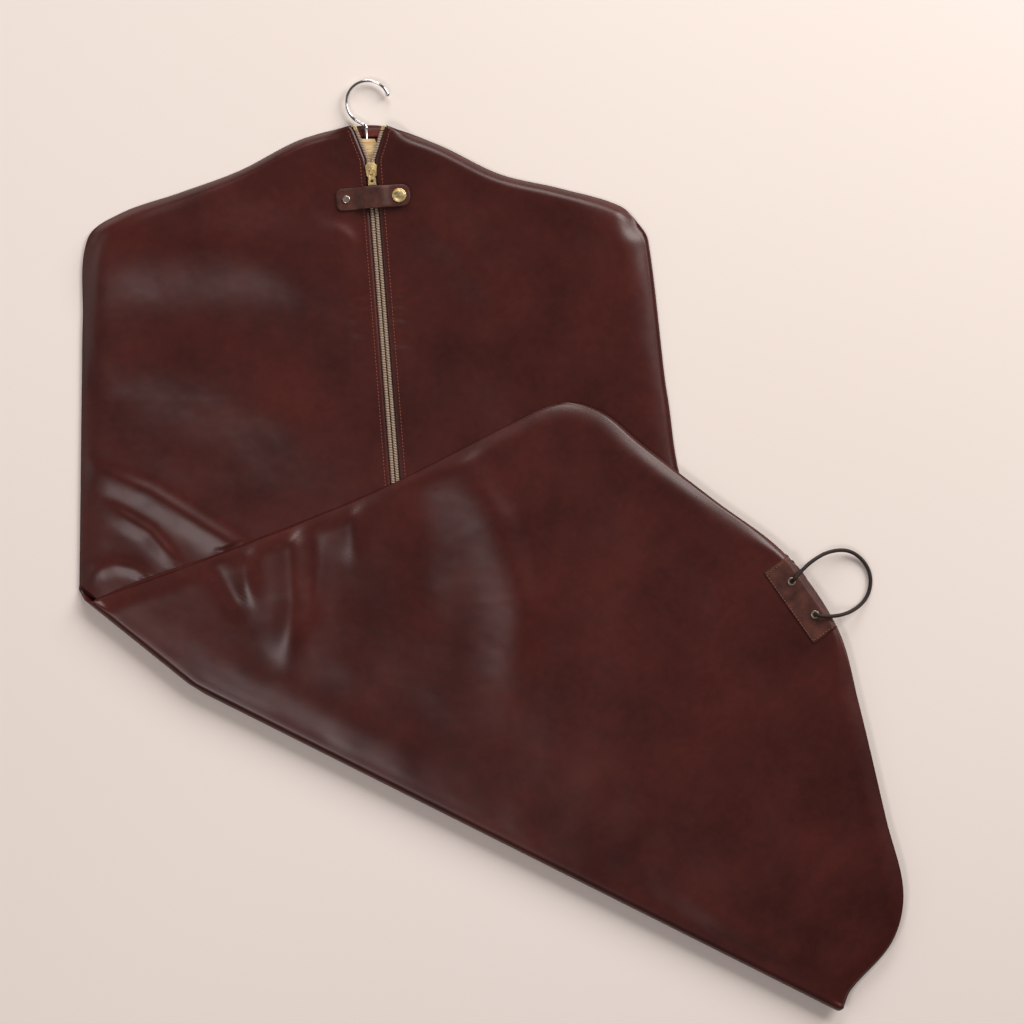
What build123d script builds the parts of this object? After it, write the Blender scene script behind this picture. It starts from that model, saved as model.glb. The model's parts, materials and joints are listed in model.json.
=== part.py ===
from build123d import *
import math
import os

# A leather garment bag on a hanger, lying flat with its lower half folded up over its front.
# Millimetres, +Z up. The collar is the design's own zero; the model is moved to its base centre at the end.

# Driving dimensions
BAG_WIDTH = 600.0  # across the bag below the shoulders
BAG_LENGTH = 1150.0  # collar to hem along the zip
FLAT_DEPTH = 8.0  # thickness of the bag away from the hanger
SLOPE_END = 285.0  # how far below the collar the front comes down to FLAT_DEPTH
LEATHER = 1.4
LINING = 0.4
FIT = 0.3  # clearance between pieces that don't touch
SEAM_GAP = 0.2  # half the gap between the two halves at the fold line
FOLD_GAP = 0.6  # from each front to the height of the fold axis
LINING_INSET = 0.3

HANGER_THICKNESS = 7.0
HANGER_DROP = 53.6  # collar to the underside of the hanger's middle
HANGER_TOP = 13.6  # collar to the top of the hanger's neck
HANGER_NECK = 18.0
HANGER_ARM_DEPTH = 21.0
SHANK_X = -5.6
WIRE = 3.2
HOOK_RADIUS = 22.4  # to the middle of the wire
HOOK_CENTRE = (-4.2, 25.0)
HOOK_OPEN_ANGLE = 22.0
HOOK_LEAVE_ANGLE = 242.0
BORE_PLAY = 0.15
HEAD_RADIUS = 2.4
HEAD_LENGTH = 2.0
HEAD_POCKET = 5.1
KNOB_RADIUS = 2.5

TAPE = 0.55
COIL = 1.8  # height of the zip's coil above its tape
COIL_INNER, COIL_OUTER = 0.8, 4.4
TAPE_OUTER = 15.0
WINDOW = 5.5  # half the slot in the leather that shows the zip
ZIP_TOP = 36.0  # collar to the top of the closed zip
ZIP_LEAN = 0.0767  # sideways run of the upper zip for each unit down
ZIP_END = 21.0  # how far short of the hem the zip stops
STOP_LENGTH = 4.0

SLIDER_LENGTH, SLIDER_WIDTH = 14.0, 12.0
PLATE = 1.0
PLATE_PLAY = 0.25
SLIDER_START = 46.0
PULL_LENGTH, PULL_WIDTH, PULL_THICKNESS = 16.5, 8.0, 1.2

STRAP_WIDTH, STRAP_THICKNESS = 23.0, 2.2
STRAP_LEFT, STRAP_RIGHT = -38.5, 38.5  # its ends, from the zip's middle
STRAP_HINGE = -20.7
STRAP_DROP = 75.0
ARCH = 5.2  # the strap's height over the slider
SNAP_SEAT = 2.2
RIVET_X, SNAP_X = -28.0, 27.0
RIVET_RADIUS, CAP_RADIUS, SOCKET_RADIUS = 4.0, 7.4, 5.5
STUD_RADIUS = 1.5  # the rivet's and the snap stud's shanks

PATCH_LENGTH, PATCH_DEPTH, PATCH_LEATHER = 90.0, 30.0, 1.2
PATCH_FRONT_DEPTH = 18.0
EYELET_SPACING, EYELET_INSET = 42.0, 11.5
EYELET_FLANGE, EYELET_BARREL, EYELET_HOLE = 4.2, 3.0, 2.4
FLANGE = 0.6
CORD = 4.0
KNOT_RADIUS = 3.9

FAR = 1500.0  # past the bag in any direction

# Outlines from the collar, as shares of the bag's width and length. The first and last points of
# each run are on the zip side of the fold, and two of them lie past the fold line.
UPPER_SHARES = [
    (-0.035, 0.0), (-0.125, -0.012), (-0.230, -0.040), (-0.334, -0.060), (-0.438, -0.079),
    (-0.494, -0.102), (-0.502, -0.174), (-0.508, -0.415), (-0.299, -0.503), (-0.217, -0.538),
    (0.817, -0.840), (0.803, -0.791), (0.535, -0.316), (0.509, -0.229), (0.480, -0.103),
    (0.466, -0.090), (0.431, -0.072), (0.327, -0.056), (0.222, -0.043), (0.118, -0.017),
    (0.026, 0.0),
]
LOWER_SHARES = [
    (-0.217, -0.538), (-0.299, -0.503), (-0.478, -0.428), (-0.238, -0.382), (0.014, -0.329),
    (0.222, -0.275), (0.327, -0.251), (0.396, -0.258), (0.466, -0.287), (0.593, -0.338),
    (0.718, -0.388), (0.807, -0.454), (0.843, -0.520), (0.892, -0.628), (0.921, -0.692),
    (0.902, -0.737), (0.830, -0.781), (0.790, -0.830),
]
HEM_LEFT, HEM_RIGHT = (0.718, -0.388), (0.807, -0.454)  # the hem's straight middle
FOLD_LEFT, FOLD_RIGHT = (-0.299, -0.503), (0.803, -0.791)
HANGER_ARM_SHARES = [(0.117, -0.030), (0.217, -0.052), (0.358, -0.082)]

# The cord loop from its first eyelet round to the other: along the hem, out from the hem, height.
CORD_OUT = [
    (-2.9, 10.6, 23.4), (-5.7, 28.4, 19.6), (-3.3, 50.0, 12.5), (8.1, 68.9, 5.6), (28.1, 75.6, 2.3),
    (46.9, 71.0, 2.3), (60.6, 55.8, 2.3), (62.8, 37.1, 8.5), (57.8, 20.5, 18.4), (49.3, 6.9, 22.9),
]
CORD_BEND_HEIGHT = 24.5
CORD_START_HEIGHT = 5.0


def at(share):
    """A point of the bag in millimetres, from its shares of the width and length."""
    return (share[0] * BAG_WIDTH, share[1] * BAG_LENGTH)


SHOULDER_DEPTH = 2 * LEATHER + LINING + 2 * FIT + HANGER_THICKNESS + PLATE + PLATE_PLAY + TAPE
SLOPE = (SHOULDER_DEPTH - FLAT_DEPTH) / (SLOPE_END - HANGER_DROP)
TILT = math.degrees(math.atan(SLOPE))
FOLD_HEIGHT = FLAT_DEPTH + FOLD_GAP
TOP = 2 * FOLD_HEIGHT

fold_a, fold_b = Vector(*at(FOLD_LEFT)), Vector(*at(FOLD_RIGHT))
along_fold = (fold_b - fold_a).normalized()
into_bag = Vector(-along_fold.Y, along_fold.X, 0)
hem_a, hem_b = Vector(*at(HEM_LEFT)), Vector(*at(HEM_RIGHT))
along_hem = (hem_b - hem_a).normalized()
out_of_hem = Vector(-along_hem.Y, along_hem.X, 0)
hem_middle = (hem_a + hem_b) * 0.5


def surface(y):
    """The height of the front's outer face at a distance below the collar (y is negative)."""
    return FLAT_DEPTH + max(0.0, (y + SLOPE_END) * SLOPE)


def zip_x(y):
    """Where the upper zip's middle line is at a height on the bag."""
    return -1.0 - (y + ZIP_TOP) * ZIP_LEAN


def zip_crossing():
    """The point where the upper zip meets the fold line."""
    top = Vector(zip_x(-ZIP_TOP), -ZIP_TOP)
    down = Vector(ZIP_LEAN, -1.0)
    run = (fold_a - top).dot(into_bag) / down.dot(into_bag)
    return top + down * run


crossing = zip_crossing()
lower_zip = (hem_middle - crossing).normalized()
lower_zip_left = Vector(-lower_zip.Y, lower_zip.X, 0)
lower_zip_end = hem_middle - lower_zip * ZIP_END


def prism(points, low, high):
    """A straight-sided solid over an outline, between two heights."""
    face = make_face(Polyline(*[(p[0], p[1]) for p in points], close=True))
    return extrude(Pos(0, 0, low) * face, amount=high - low, dir=(0, 0, 1))


def xy(vector):
    return (vector.X, vector.Y)


def band(bottom_depth, top_depth):
    """The space between two depths under the front's outer face, over the whole bag."""
    ends = [30.0, -SLOPE_END, -FAR]
    upper = [(y, surface(y) - top_depth) for y in ends]
    lower = [(y, surface(y) - bottom_depth) for y in ends]
    profile = make_face(Polyline(*[(0, y, z) for y, z in upper + lower[::-1]], close=True))
    return extrude(profile, amount=FAR, dir=(1, 0, 0), both=True)


def inset(points, amount):
    """An outline moved inwards, as a list of corner points."""
    face = make_face(Polyline(*points, close=True))
    wire = offset(face, amount=-amount, kind=Kind.INTERSECTION).faces()[0].outer_wire()
    ring = wire.order_edges()
    return [xy(edge.position_at(0)) for edge in ring]


def fold_side():
    """Everything on the bag's side of the fold line."""
    a = fold_a - along_fold * FAR + into_bag * SEAM_GAP
    b = fold_a + along_fold * FAR + into_bag * SEAM_GAP
    corners = [a, b, b + into_bag * FAR, a + into_bag * FAR]
    return prism([xy(p) for p in corners], -FAR, FAR)


def upper_strip(side, near, far):
    """A strip beside the upper zip that spreads along the collar's opening. side is -1 or 1."""
    collar = at(UPPER_SHARES[0])[0] if side < 0 else at(UPPER_SHARES[-1])[0]
    low = -0.8 * BAG_LENGTH

    def line(distance):
        return [
            (zip_x(low) + side * distance, low),
            (zip_x(-ZIP_TOP) + side * distance, -ZIP_TOP),
            (collar + side * (distance - WINDOW), 0.0),
        ]

    return line(near) + line(far)[::-1]


def lower_strip(side, near, far, stop=0.0):
    """A strip beside the lower zip. side is -1 for the bag's left and 1 for its right."""
    start, end = crossing - lower_zip * 60, hem_middle - lower_zip * stop
    across = lower_zip_left * -side
    corners = [start + across * near, end + across * near, end + across * far, start + across * far]
    return [xy(p) for p in corners]


def first_solid(shape):
    """The largest solid of a cut shape."""
    return max(shape.solids(), key=lambda solid: solid.volume)


upper_outline = [at(share) for share in UPPER_SHARES]
lower_outline = [at(share) for share in LOWER_SHARES]
bag_side = fold_side()
upper_inner = inset(upper_outline, LEATHER)
upper_lined = inset(upper_outline, LEATHER + LINING_INSET)
lower_inner = inset(lower_outline, LEATHER)
lower_lined = inset(lower_outline, LEATHER + LINING_INSET)


def front_frame(x, y, turn=0.0):
    """A place on the sloping front: x across, y towards the collar, z out of the leather."""
    return Location((x, y, surface(y)), (TILT, 0, 0)) * Location((0, 0, 0), (0, 0, turn))


ZIP_TURN = math.degrees(math.atan(ZIP_LEAN))
strap_frame = front_frame(zip_x(-STRAP_DROP), -STRAP_DROP, ZIP_TURN)
slider_frame = front_frame(zip_x(-SLIDER_START), -SLIDER_START, ZIP_TURN)


def stud_hole(x):
    """A bore through the front under the strap, for the rivet or the snap's stud."""
    return strap_frame * (Pos(x, 0, -3) * Cylinder(STUD_RADIUS, 10))


def make_upper_back():
    panel = prism(upper_outline, 0, LEATHER) & bag_side
    lining = prism(upper_lined, LEATHER, LEATHER + LINING) & bag_side
    return {"back_panel_upper": first_solid(panel), "back_lining_upper": first_solid(lining)}


def make_neck_facing():
    """The facing leather stitched inside the collar, beside the hanger's neck."""
    top = LEATHER + LINING
    left, right = SHANK_X - 8.0, SHANK_X + 8.0
    pads = []
    for a, b in ((at(UPPER_SHARES[0])[0] + LEATHER + FIT, left - 1.6), (right + 1.6, 14.0)):
        pads.append(prism([(a, -2.5), (b, -2.5), (b, -10.5), (a, -10.5)], top, top + 0.8))
    return {"neck_facing": Compound(children=pads)}


def make_upper_front():
    """Two leather front panels with turned side walls, and their linings."""
    hollow = prism(upper_inner, -1, FAR) & band(FAR, LEATHER)
    outer = prism(upper_outline, LEATHER, FAR) & band(FAR, 0)
    shell = (outer - hollow) & bag_side
    collar_left, collar_right = at(UPPER_SHARES[0])[0], at(UPPER_SHARES[-1])[0]
    mouth = prism([(collar_left, -5), (collar_right, -5), (collar_right, 5), (collar_left, 5)], LEATHER, FAR)
    nodes = {}
    for side, name, hole_x in ((-1, "left", RIVET_X), (1, "right", SNAP_X)):
        half = prism(upper_strip(side, WINDOW, FAR), -1, FAR)
        panel = first_solid((shell - mouth) & half)
        nodes[f"front_panel_{name}_upper"] = panel - stud_hole(hole_x)
        lined = prism(upper_strip(side, TAPE_OUTER + FIT, FAR), -1, FAR)
        sheet = prism(upper_lined, LEATHER, FAR) & band(LEATHER + LINING, LEATHER) & bag_side & lined
        sheet = sheet - mouth
        nodes[f"front_lining_{name}_upper"] = first_solid(sheet) - stud_hole(hole_x)
    return nodes


def make_upper_zip():
    nodes, stops = {}, []
    for side, name in ((-1, "left"), (1, "right")):
        tape = prism(upper_strip(side, COIL_INNER, TAPE_OUTER), -1, FAR)
        tape = tape & band(LEATHER + TAPE, LEATHER) & bag_side & prism(upper_inner, 0, FAR)
        coil = prism(upper_strip(side, COIL_INNER, COIL_OUTER), -1, FAR)
        coil = coil & band(LEATHER, LEATHER - COIL) & bag_side
        low = -STOP_LENGTH - 1.0
        collar = at(UPPER_SHARES[0])[0] if side < 0 else at(UPPER_SHARES[-1])[0]
        x = collar - side * 3.0
        stop_area = prism([(x - 6, 1), (x + 6, 1), (x + 6, low), (x - 6, low)], 0, FAR)
        nodes[f"zip_tape_{name}_upper"] = first_solid(tape)
        nodes[f"zip_teeth_{name}_upper"] = first_solid(coil - stop_area)
        stops.append(first_solid(coil & stop_area))
    nodes["zip_top_stops"] = Compound(children=stops)
    return nodes


def hanger_outline():
    top = [(HANGER_NECK / 2, -HANGER_TOP), (HANGER_NECK / 2 + 3, -HANGER_TOP - 9)]
    top += [at(share) for share in HANGER_ARM_SHARES]
    end = top[-1]
    bottom = [(x, y - HANGER_ARM_DEPTH - 4) for x, y in top[-2:1:-1]]
    right = top + [(end[0] + 4, end[1] - 9), (end[0], end[1] - HANGER_ARM_DEPTH)] + bottom
    right += [(HANGER_NECK / 2, -HANGER_DROP)]
    left = [(-x, y) for x, y in right[::-1]]
    return [(x + SHANK_X, y) for x, y in left + right]


hanger_low = LEATHER + LINING + FIT
hanger_middle = hanger_low + HANGER_THICKNESS / 2


def upright(radius, low, high):
    """A round bar along the hook's shank, between two distances above the collar."""
    bar = Cylinder(radius, high - low)
    return Location((SHANK_X, (low + high) / 2, hanger_middle), (90, 0, 0)) * bar


def make_hanger():
    body = prism(hanger_outline(), hanger_low, hanger_low + HANGER_THICKNESS)
    body = body - upright(WIRE / 2 + BORE_PLAY, -HANGER_DROP - 1, 1)
    body = body - upright(HEAD_RADIUS + FIT, -HANGER_DROP - 1, -HANGER_DROP + HEAD_POCKET)
    return {"hanger_body": body}


def hook_path():
    centre = Vector(*HOOK_CENTRE, hanger_middle)
    ring = CenterArc(centre, HOOK_RADIUS, HOOK_OPEN_ANGLE, HOOK_LEAVE_ANGLE - HOOK_OPEN_ANGLE)
    leave = ring @ 1
    down = ring % 1
    run = (SHANK_X - leave.X) / down.X
    corner = leave + down * run
    bottom = Vector(SHANK_X, -HANGER_DROP + HEAD_POCKET - FIT, hanger_middle)
    stem = FilletPolyline(leave, corner, bottom, radius=5.0)
    return ring, stem


def make_hook():
    ring, stem = hook_path()
    path = Wire([ring.edge()] + list(stem.edges()))
    start = Plane(origin=ring @ 0, z_dir=ring % 0)
    wire = sweep(start * Circle(WIRE / 2), path=path)
    head_top = -HANGER_DROP + HEAD_POCKET - FIT
    head = upright(HEAD_RADIUS, head_top - HEAD_LENGTH, head_top + 0.1)
    knob = Pos(*(ring @ 0)) * Sphere(KNOB_RADIUS)
    hook = (wire + head) - knob
    return {"hanger_hook": first_solid(hook), "hook_tip": knob}


def make_slider():
    """A slider of two plates joined by a wedge, with guides in the zip's slot and a bail on top."""
    length, half = SLIDER_LENGTH / 2, SLIDER_WIDTH / 2
    shape = [(-half, length - 3), (-half + 2.5, length), (half - 2.5, length), (half, length - 3)]
    shape += [(half - 1, -length), (-half + 1, -length)]
    top_low = COIL - LEATHER + 0.2
    bottom_high = -LEATHER - TAPE - PLATE_PLAY
    top = prism(shape, top_low, top_low + PLATE)
    bottom = prism([(x * 0.86, y) for x, y in shape], bottom_high - PLATE, bottom_high)
    wedge = Pos(0, length - 2.5, (bottom_high + top_low) / 2) * Box(1.0, 5.0, top_low - bottom_high)
    body = top + bottom + wedge
    for side in (-1, 1):
        guide = Pos(side * (COIL_OUTER + 0.5), -0.5, top_low - 0.8) * Box(0.6, SLIDER_LENGTH - 3, 1.6)
        body = body + guide
    roof = top_low + PLATE
    bail = Pos(0, -0.5, roof + 1.3) * Box(2.6, 8.0, 2.6)
    bail = bail - Pos(0, -0.5, roof + 0.9) * Box(4.0, 5.6, 1.9)
    return {"slider_body": slider_frame * (body + bail)}


PULL_HEIGHT = COIL - LEATHER + 0.2 + PLATE + 0.95


def make_pull():
    """A flared tab that hangs on the slider's bail by a round bar."""
    bar = Pos(0, 0, 0) * Rot(0, 90, 0) * Cylinder(PULL_THICKNESS / 2, PULL_WIDTH - 2)
    half, tip = PULL_WIDTH / 2 - 1, PULL_WIDTH / 2
    tab = prism(
        [(-half, 0), (half, 0), (tip, -PULL_LENGTH), (-tip, -PULL_LENGTH)],
        -PULL_THICKNESS / 2, PULL_THICKNESS / 2,
    )
    window = Pos(0, -3.2, 0) * Box(3.8, 6.4, 4)
    hole = Pos(0, -PULL_LENGTH + 4.5, 0) * Cylinder(1.6, 4)
    tab = (tab - window - hole) + bar
    return {"pull_tab": slider_frame * (Pos(0, 0, PULL_HEIGHT) * tab)}


def side_profile(points, width):
    """A solid of one side view, as wide as the strap."""
    face = make_face(Polyline(*[(x, 0, z) for x, z in points], close=True))
    return extrude(face, amount=width / 2, dir=(0, 1, 0), both=True)


def make_strap():
    """The anchored end, the arched strap, its rivet and its snap."""
    thick = STRAP_THICKNESS
    end = STRAP_HINGE - FIT
    anchor = side_profile([(STRAP_LEFT, 0), (end, 0), (end, thick), (STRAP_LEFT, thick)], STRAP_WIDTH)
    anchor = chamfer(anchor.edges().filter_by(Axis.Z).group_by(Axis.X)[0], 4.0)
    anchor = anchor - Pos(RIVET_X, 0, 0) * Cylinder(STUD_RADIUS, 10)
    under = [(STRAP_HINGE, 0), (STRAP_HINGE + 2, 0), (-9.5, ARCH), (9.5, ARCH), (17, SNAP_SEAT)]
    under += [(STRAP_RIGHT, SNAP_SEAT)]
    over = [(x, z + thick) for x, z in under]
    strap = side_profile(under + over[::-1], STRAP_WIDTH)
    strap = fillet(strap.edges().filter_by(Axis.Z).group_by(Axis.X)[-1], 9.0)
    strap = strap - Pos(SNAP_X, 0, 0) * Cylinder(1.4, 20)
    seat = SNAP_SEAT + thick
    cap = Pos(SNAP_X, 0, seat + 0.8) * Cylinder(CAP_RADIUS, 1.6)
    cap = fillet(cap.edges().group_by(Axis.Z)[-1], 1.2)
    cap = cap + Pos(SNAP_X, 0, SNAP_SEAT + thick / 2) * Cylinder(1.4, thick)
    socket = Pos(SNAP_X, 0, SNAP_SEAT - 0.65) * (Cylinder(SOCKET_RADIUS, 1.3) - Cylinder(2.2, 1.3))
    rivet = Pos(RIVET_X, 0, thick + 0.6) * Cylinder(RIVET_RADIUS, 1.2)
    rivet = fillet(rivet.edges().group_by(Axis.Z)[-1], 0.9)
    skin = LEATHER + LINING
    rivet = rivet + Pos(RIVET_X, 0, (thick - skin) / 2) * Cylinder(STUD_RADIUS, thick + skin)
    burr = Pos(RIVET_X, 0, -skin - 0.35) * Cylinder(RIVET_RADIUS, 0.7)
    stud = Pos(SNAP_X, 0, 0.3) * Cylinder(SOCKET_RADIUS, 0.6) + Pos(SNAP_X, 0, 1.25) * Cylinder(1.8, 1.3)
    stud = stud + Pos(SNAP_X, 0, -skin / 2) * Cylinder(STUD_RADIUS, skin)
    backing = Pos(SNAP_X, 0, -skin - 0.35) * Cylinder(SOCKET_RADIUS, 0.7)
    pieces = {
        "strap_anchor": anchor, "snap_strap": strap, "snap_cap": cap, "snap_socket": socket,
        "strap_rivet": rivet, "strap_rivet_burr": burr, "snap_stud": stud, "snap_stud_backing": backing,
    }
    return {name: strap_frame * piece for name, piece in pieces.items()}


def half_pipe(outer, inner, start, length):
    """Half a pipe about the fold axis, on the outside of the fold."""
    ring = Circle(outer) - Circle(inner)
    plane = Plane(origin=start + Vector(0, 0, FOLD_HEIGHT), x_dir=(0, 0, 1), z_dir=along_fold)
    side = -1 if plane.y_dir.dot(into_bag) > 0 else 1
    away = Pos(0, side * (outer / 2 + 1 + SEAM_GAP), 0) * Rectangle(4 * outer, outer + 2)
    return extrude(plane * (ring & away), amount=length)


def make_fold():
    """The leather and the zip where they bend, in pieces that only this fold deforms."""
    length = (fold_b - fold_a).length
    to_zip = (crossing - fold_a).dot(along_fold)
    gap = WINDOW * 1.3
    back = half_pipe(FOLD_HEIGHT, FOLD_HEIGHT - LEATHER, fold_a, length)
    left = half_pipe(FOLD_GAP + LEATHER, FOLD_GAP, fold_a, to_zip - gap)
    right = half_pipe(FOLD_GAP + LEATHER, FOLD_GAP, fold_a + along_fold * (to_zip + gap), length - to_zip - gap)
    middle = fold_a + along_fold * (to_zip - COIL_OUTER)
    coil = half_pipe(FOLD_GAP + LEATHER + TAPE, FOLD_GAP, middle, 2 * COIL_OUTER)
    return {
        "fold_bend_back": back,
        "fold_bend_front": Compound(children=[left, right]),
        "fold_bend_zip": coil,
    }


def patch_outline(depth):
    half = along_hem * (PATCH_LENGTH / 2)
    inner = out_of_hem * -depth
    corners = [hem_middle - half, hem_middle + half, hem_middle + half + inner, hem_middle - half + inner]
    return [xy(p) for p in corners]


def eyelet_places():
    middle = hem_middle - out_of_hem * EYELET_INSET
    half = along_hem * (EYELET_SPACING / 2)
    return [middle - half, middle + half]


def upright_bar(place, radius, low, high):
    """A round bar through the hem, between two heights."""
    return Pos(place.X, place.Y, (low + high) / 2) * Cylinder(radius, high - low)


def eyelet_holes(radius):
    bars = [upright_bar(place, radius, 0, TOP + 10) for place in eyelet_places()]
    return bars[0] + bars[1]


front_low = TOP - FLAT_DEPTH
front_high = front_low + LEATHER
holes = eyelet_holes(EYELET_BARREL)


def make_lower_bag():
    """The lower half as it lies folded, with its back facing up."""
    back = prism(lower_outline, TOP - LEATHER, TOP) & bag_side
    back_lining = prism(lower_lined, TOP - LEATHER - LINING, TOP - LEATHER) & bag_side
    nodes = {
        "back_panel_lower": first_solid(back) - holes,
        "back_lining_lower": first_solid(back_lining) - holes,
    }
    outer = prism(lower_outline, front_low, TOP - LEATHER)
    shell = (outer - prism(lower_inner, front_high, TOP)) & bag_side
    sheet = prism(lower_lined, front_high, front_high + LINING) & bag_side
    for side, name in ((-1, "left"), (1, "right")):
        own = prism(lower_half(side), front_low - 1, TOP)
        window = prism(lower_strip(side, -FAR, WINDOW, ZIP_END), front_low - 1, TOP)
        nodes[f"front_panel_{name}_lower"] = first_solid((shell - window) & own) - holes
        slot = prism(lower_strip(side, -FAR, TAPE_OUTER + FIT), front_low - 1, TOP)
        nodes[f"front_lining_{name}_lower"] = first_solid((sheet - slot) & own) - holes
    return nodes


def lower_half(side):
    """One side of the lower bag, up to the middle of its zip and past the hem."""
    start, end = crossing - lower_zip * 200, hem_middle + lower_zip * 200
    across = lower_zip_left * (-side * FAR)
    return [xy(p) for p in (start, end, end + across, start + across)]


def make_lower_zip():
    nodes = {}
    stop_start = lower_zip_end - lower_zip * STOP_LENGTH
    for side, name in ((-1, "left"), (1, "right")):
        tape = prism(lower_strip(side, COIL_INNER, TAPE_OUTER, ZIP_END), front_high, front_high + TAPE)
        low = front_high - COIL
        coil = prism(lower_strip(side, COIL_INNER, COIL_OUTER, ZIP_END + STOP_LENGTH + FIT), low, front_high)
        nodes[f"zip_tape_{name}_lower"] = first_solid(tape & bag_side)
        nodes[f"zip_teeth_{name}_lower"] = first_solid(coil & bag_side)
    across = lower_zip_left * COIL_OUTER
    corners = [stop_start + across, lower_zip_end + across, lower_zip_end - across, stop_start - across]
    nodes["zip_bottom_stop"] = prism([xy(p) for p in corners], front_high - COIL, front_high)
    return nodes


def make_hem():
    """The hem patch on both faces, its eyelets and the knotted cord loop."""
    patch_top, patch_low = TOP + PATCH_LEATHER, front_low - PATCH_LEATHER
    nodes = {
        "hem_patch_back": prism(patch_outline(PATCH_DEPTH), TOP, patch_top) - holes,
        "hem_patch_front": prism(patch_outline(PATCH_FRONT_DEPTH), patch_low, front_low) - holes,
    }
    eyelets, washers, knots = [], [], []
    for place in eyelet_places():
        barrel = upright_bar(place, EYELET_BARREL, patch_low, patch_top + FLANGE)
        flange = upright_bar(place, EYELET_FLANGE, patch_top, patch_top + FLANGE)
        bore = upright_bar(place, EYELET_HOLE, 0, TOP + 10)
        eyelets.append(barrel + flange - bore)
        washer = upright_bar(place, EYELET_FLANGE, patch_low - FLANGE, patch_low)
        washers.append(washer - upright_bar(place, EYELET_HOLE, 0, TOP))
        height = CORD_START_HEIGHT
        knots.append(Pos(place.X, place.Y, height - 1.0) * Cylinder(KNOT_RADIUS, 2 * height - 4.0))
    nodes["eyelets"] = Compound(children=eyelets)
    nodes["eyelet_washers"] = Compound(children=washers)
    nodes["cord_knots"] = Compound(children=[knot - cord_bore(knot) for knot in knots])
    return nodes


def cord_bore(knot):
    """The cord's own way through a knot."""
    centre = knot.center()
    return Pos(centre.X, centre.Y, centre.Z) * Cylinder(CORD / 2, 40)


def cord_points():
    first, last = eyelet_places()
    start = Vector(first.X, first.Y, CORD_START_HEIGHT)
    end = Vector(last.X, last.Y, CORD_START_HEIGHT)
    out = [first + along_hem * along + out_of_hem * away + Vector(0, 0, z) for along, away, z in CORD_OUT]
    rise = Vector(0, 0, CORD_BEND_HEIGHT - CORD_START_HEIGHT)
    return [start, start + rise] + out + [end + rise, end]


def corner_radii(points):
    """The largest arc that each corner's two runs allow."""
    radii = []
    for before, here, after in zip(points, points[1:], points[2:]):
        turn = math.radians((here - before).get_angle(after - here))
        shorter = min((here - before).length, (after - here).length)
        radii.append(0.45 * shorter / math.tan(turn / 2))
    return radii


def make_cord():
    points = cord_points()
    radii = corner_radii(points)
    path = FilletPolyline(*points, radius=radii)
    start = Plane(origin=points[0], z_dir=points[1] - points[0])
    tube = sweep(start * Circle(CORD / 2), path=path)
    section = math.pi * CORD * CORD / 4
    print("cord radii", [round(r, 1) for r in radii])
    print("cord length", round(path.length, 1), "volume share", round(tube.volume / (section * path.length), 4))
    return {"cord_loop": tube}


def base_centre(nodes, cords):
    """The middle of the base of everything but the cord and its knots."""
    boxes = [shape.bounding_box() for name, shape in nodes.items() if name not in cords]
    low_x, high_x = min(b.min.X for b in boxes), max(b.max.X for b in boxes)
    low_y, high_y = min(b.min.Y for b in boxes), max(b.max.Y for b in boxes)
    low_z = min(b.min.Z for b in boxes)
    return Vector((low_x + high_x) / 2, (low_y + high_y) / 2, low_z)


def joint_lines(base):
    """Each joint's point and axis in the finished model, for whoever writes its record."""
    hinge = strap_frame * Pos(STRAP_HINGE, 0, STRAP_THICKNESS)
    pull = slider_frame * Pos(0, 0, PULL_HEIGHT)
    across = Plane(strap_frame).x_dir
    up_front = Plane(strap_frame).y_dir
    lines = {
        "bag_fold": (Vector(crossing.X, crossing.Y, FOLD_HEIGHT), along_fold),
        "slider_run": (slider_frame.position, up_front * -1),
        "pull_swing": (pull.position, across * -1),
        "strap_lift": (hinge.position, up_front * -1),
        "hook_swivel": (Vector(SHANK_X, 0, hanger_middle), Vector(0, 1, 0)),
    }
    for name, (point, axis) in lines.items():
        moved = point - base
        print(name, [round(v / 1000, 6) for v in moved], [round(v, 6) for v in axis])


def main():
    os.makedirs("parts", exist_ok=True)
    nodes = {}
    for make in (make_upper_back, make_neck_facing, make_upper_front, make_upper_zip, make_hanger,
                 make_hook, make_slider, make_pull, make_strap, make_fold, make_lower_bag,
                 make_lower_zip, make_hem, make_cord):
        nodes.update(make())
    base = base_centre(nodes, ("cord_loop", "cord_knots"))
    print("base", base)
    joint_lines(base)
    for name, shape in nodes.items():
        export_step(Pos(-base.X, -base.Y, -base.Z) * shape, f"parts/{name}.step")


main()
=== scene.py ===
import json
import logging
import math
from dataclasses import dataclass
from enum import Enum

import bmesh
import bpy
import numpy as np
from mathutils import Matrix, Vector, noise
from mathutils.bvhtree import BVHTree


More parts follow.
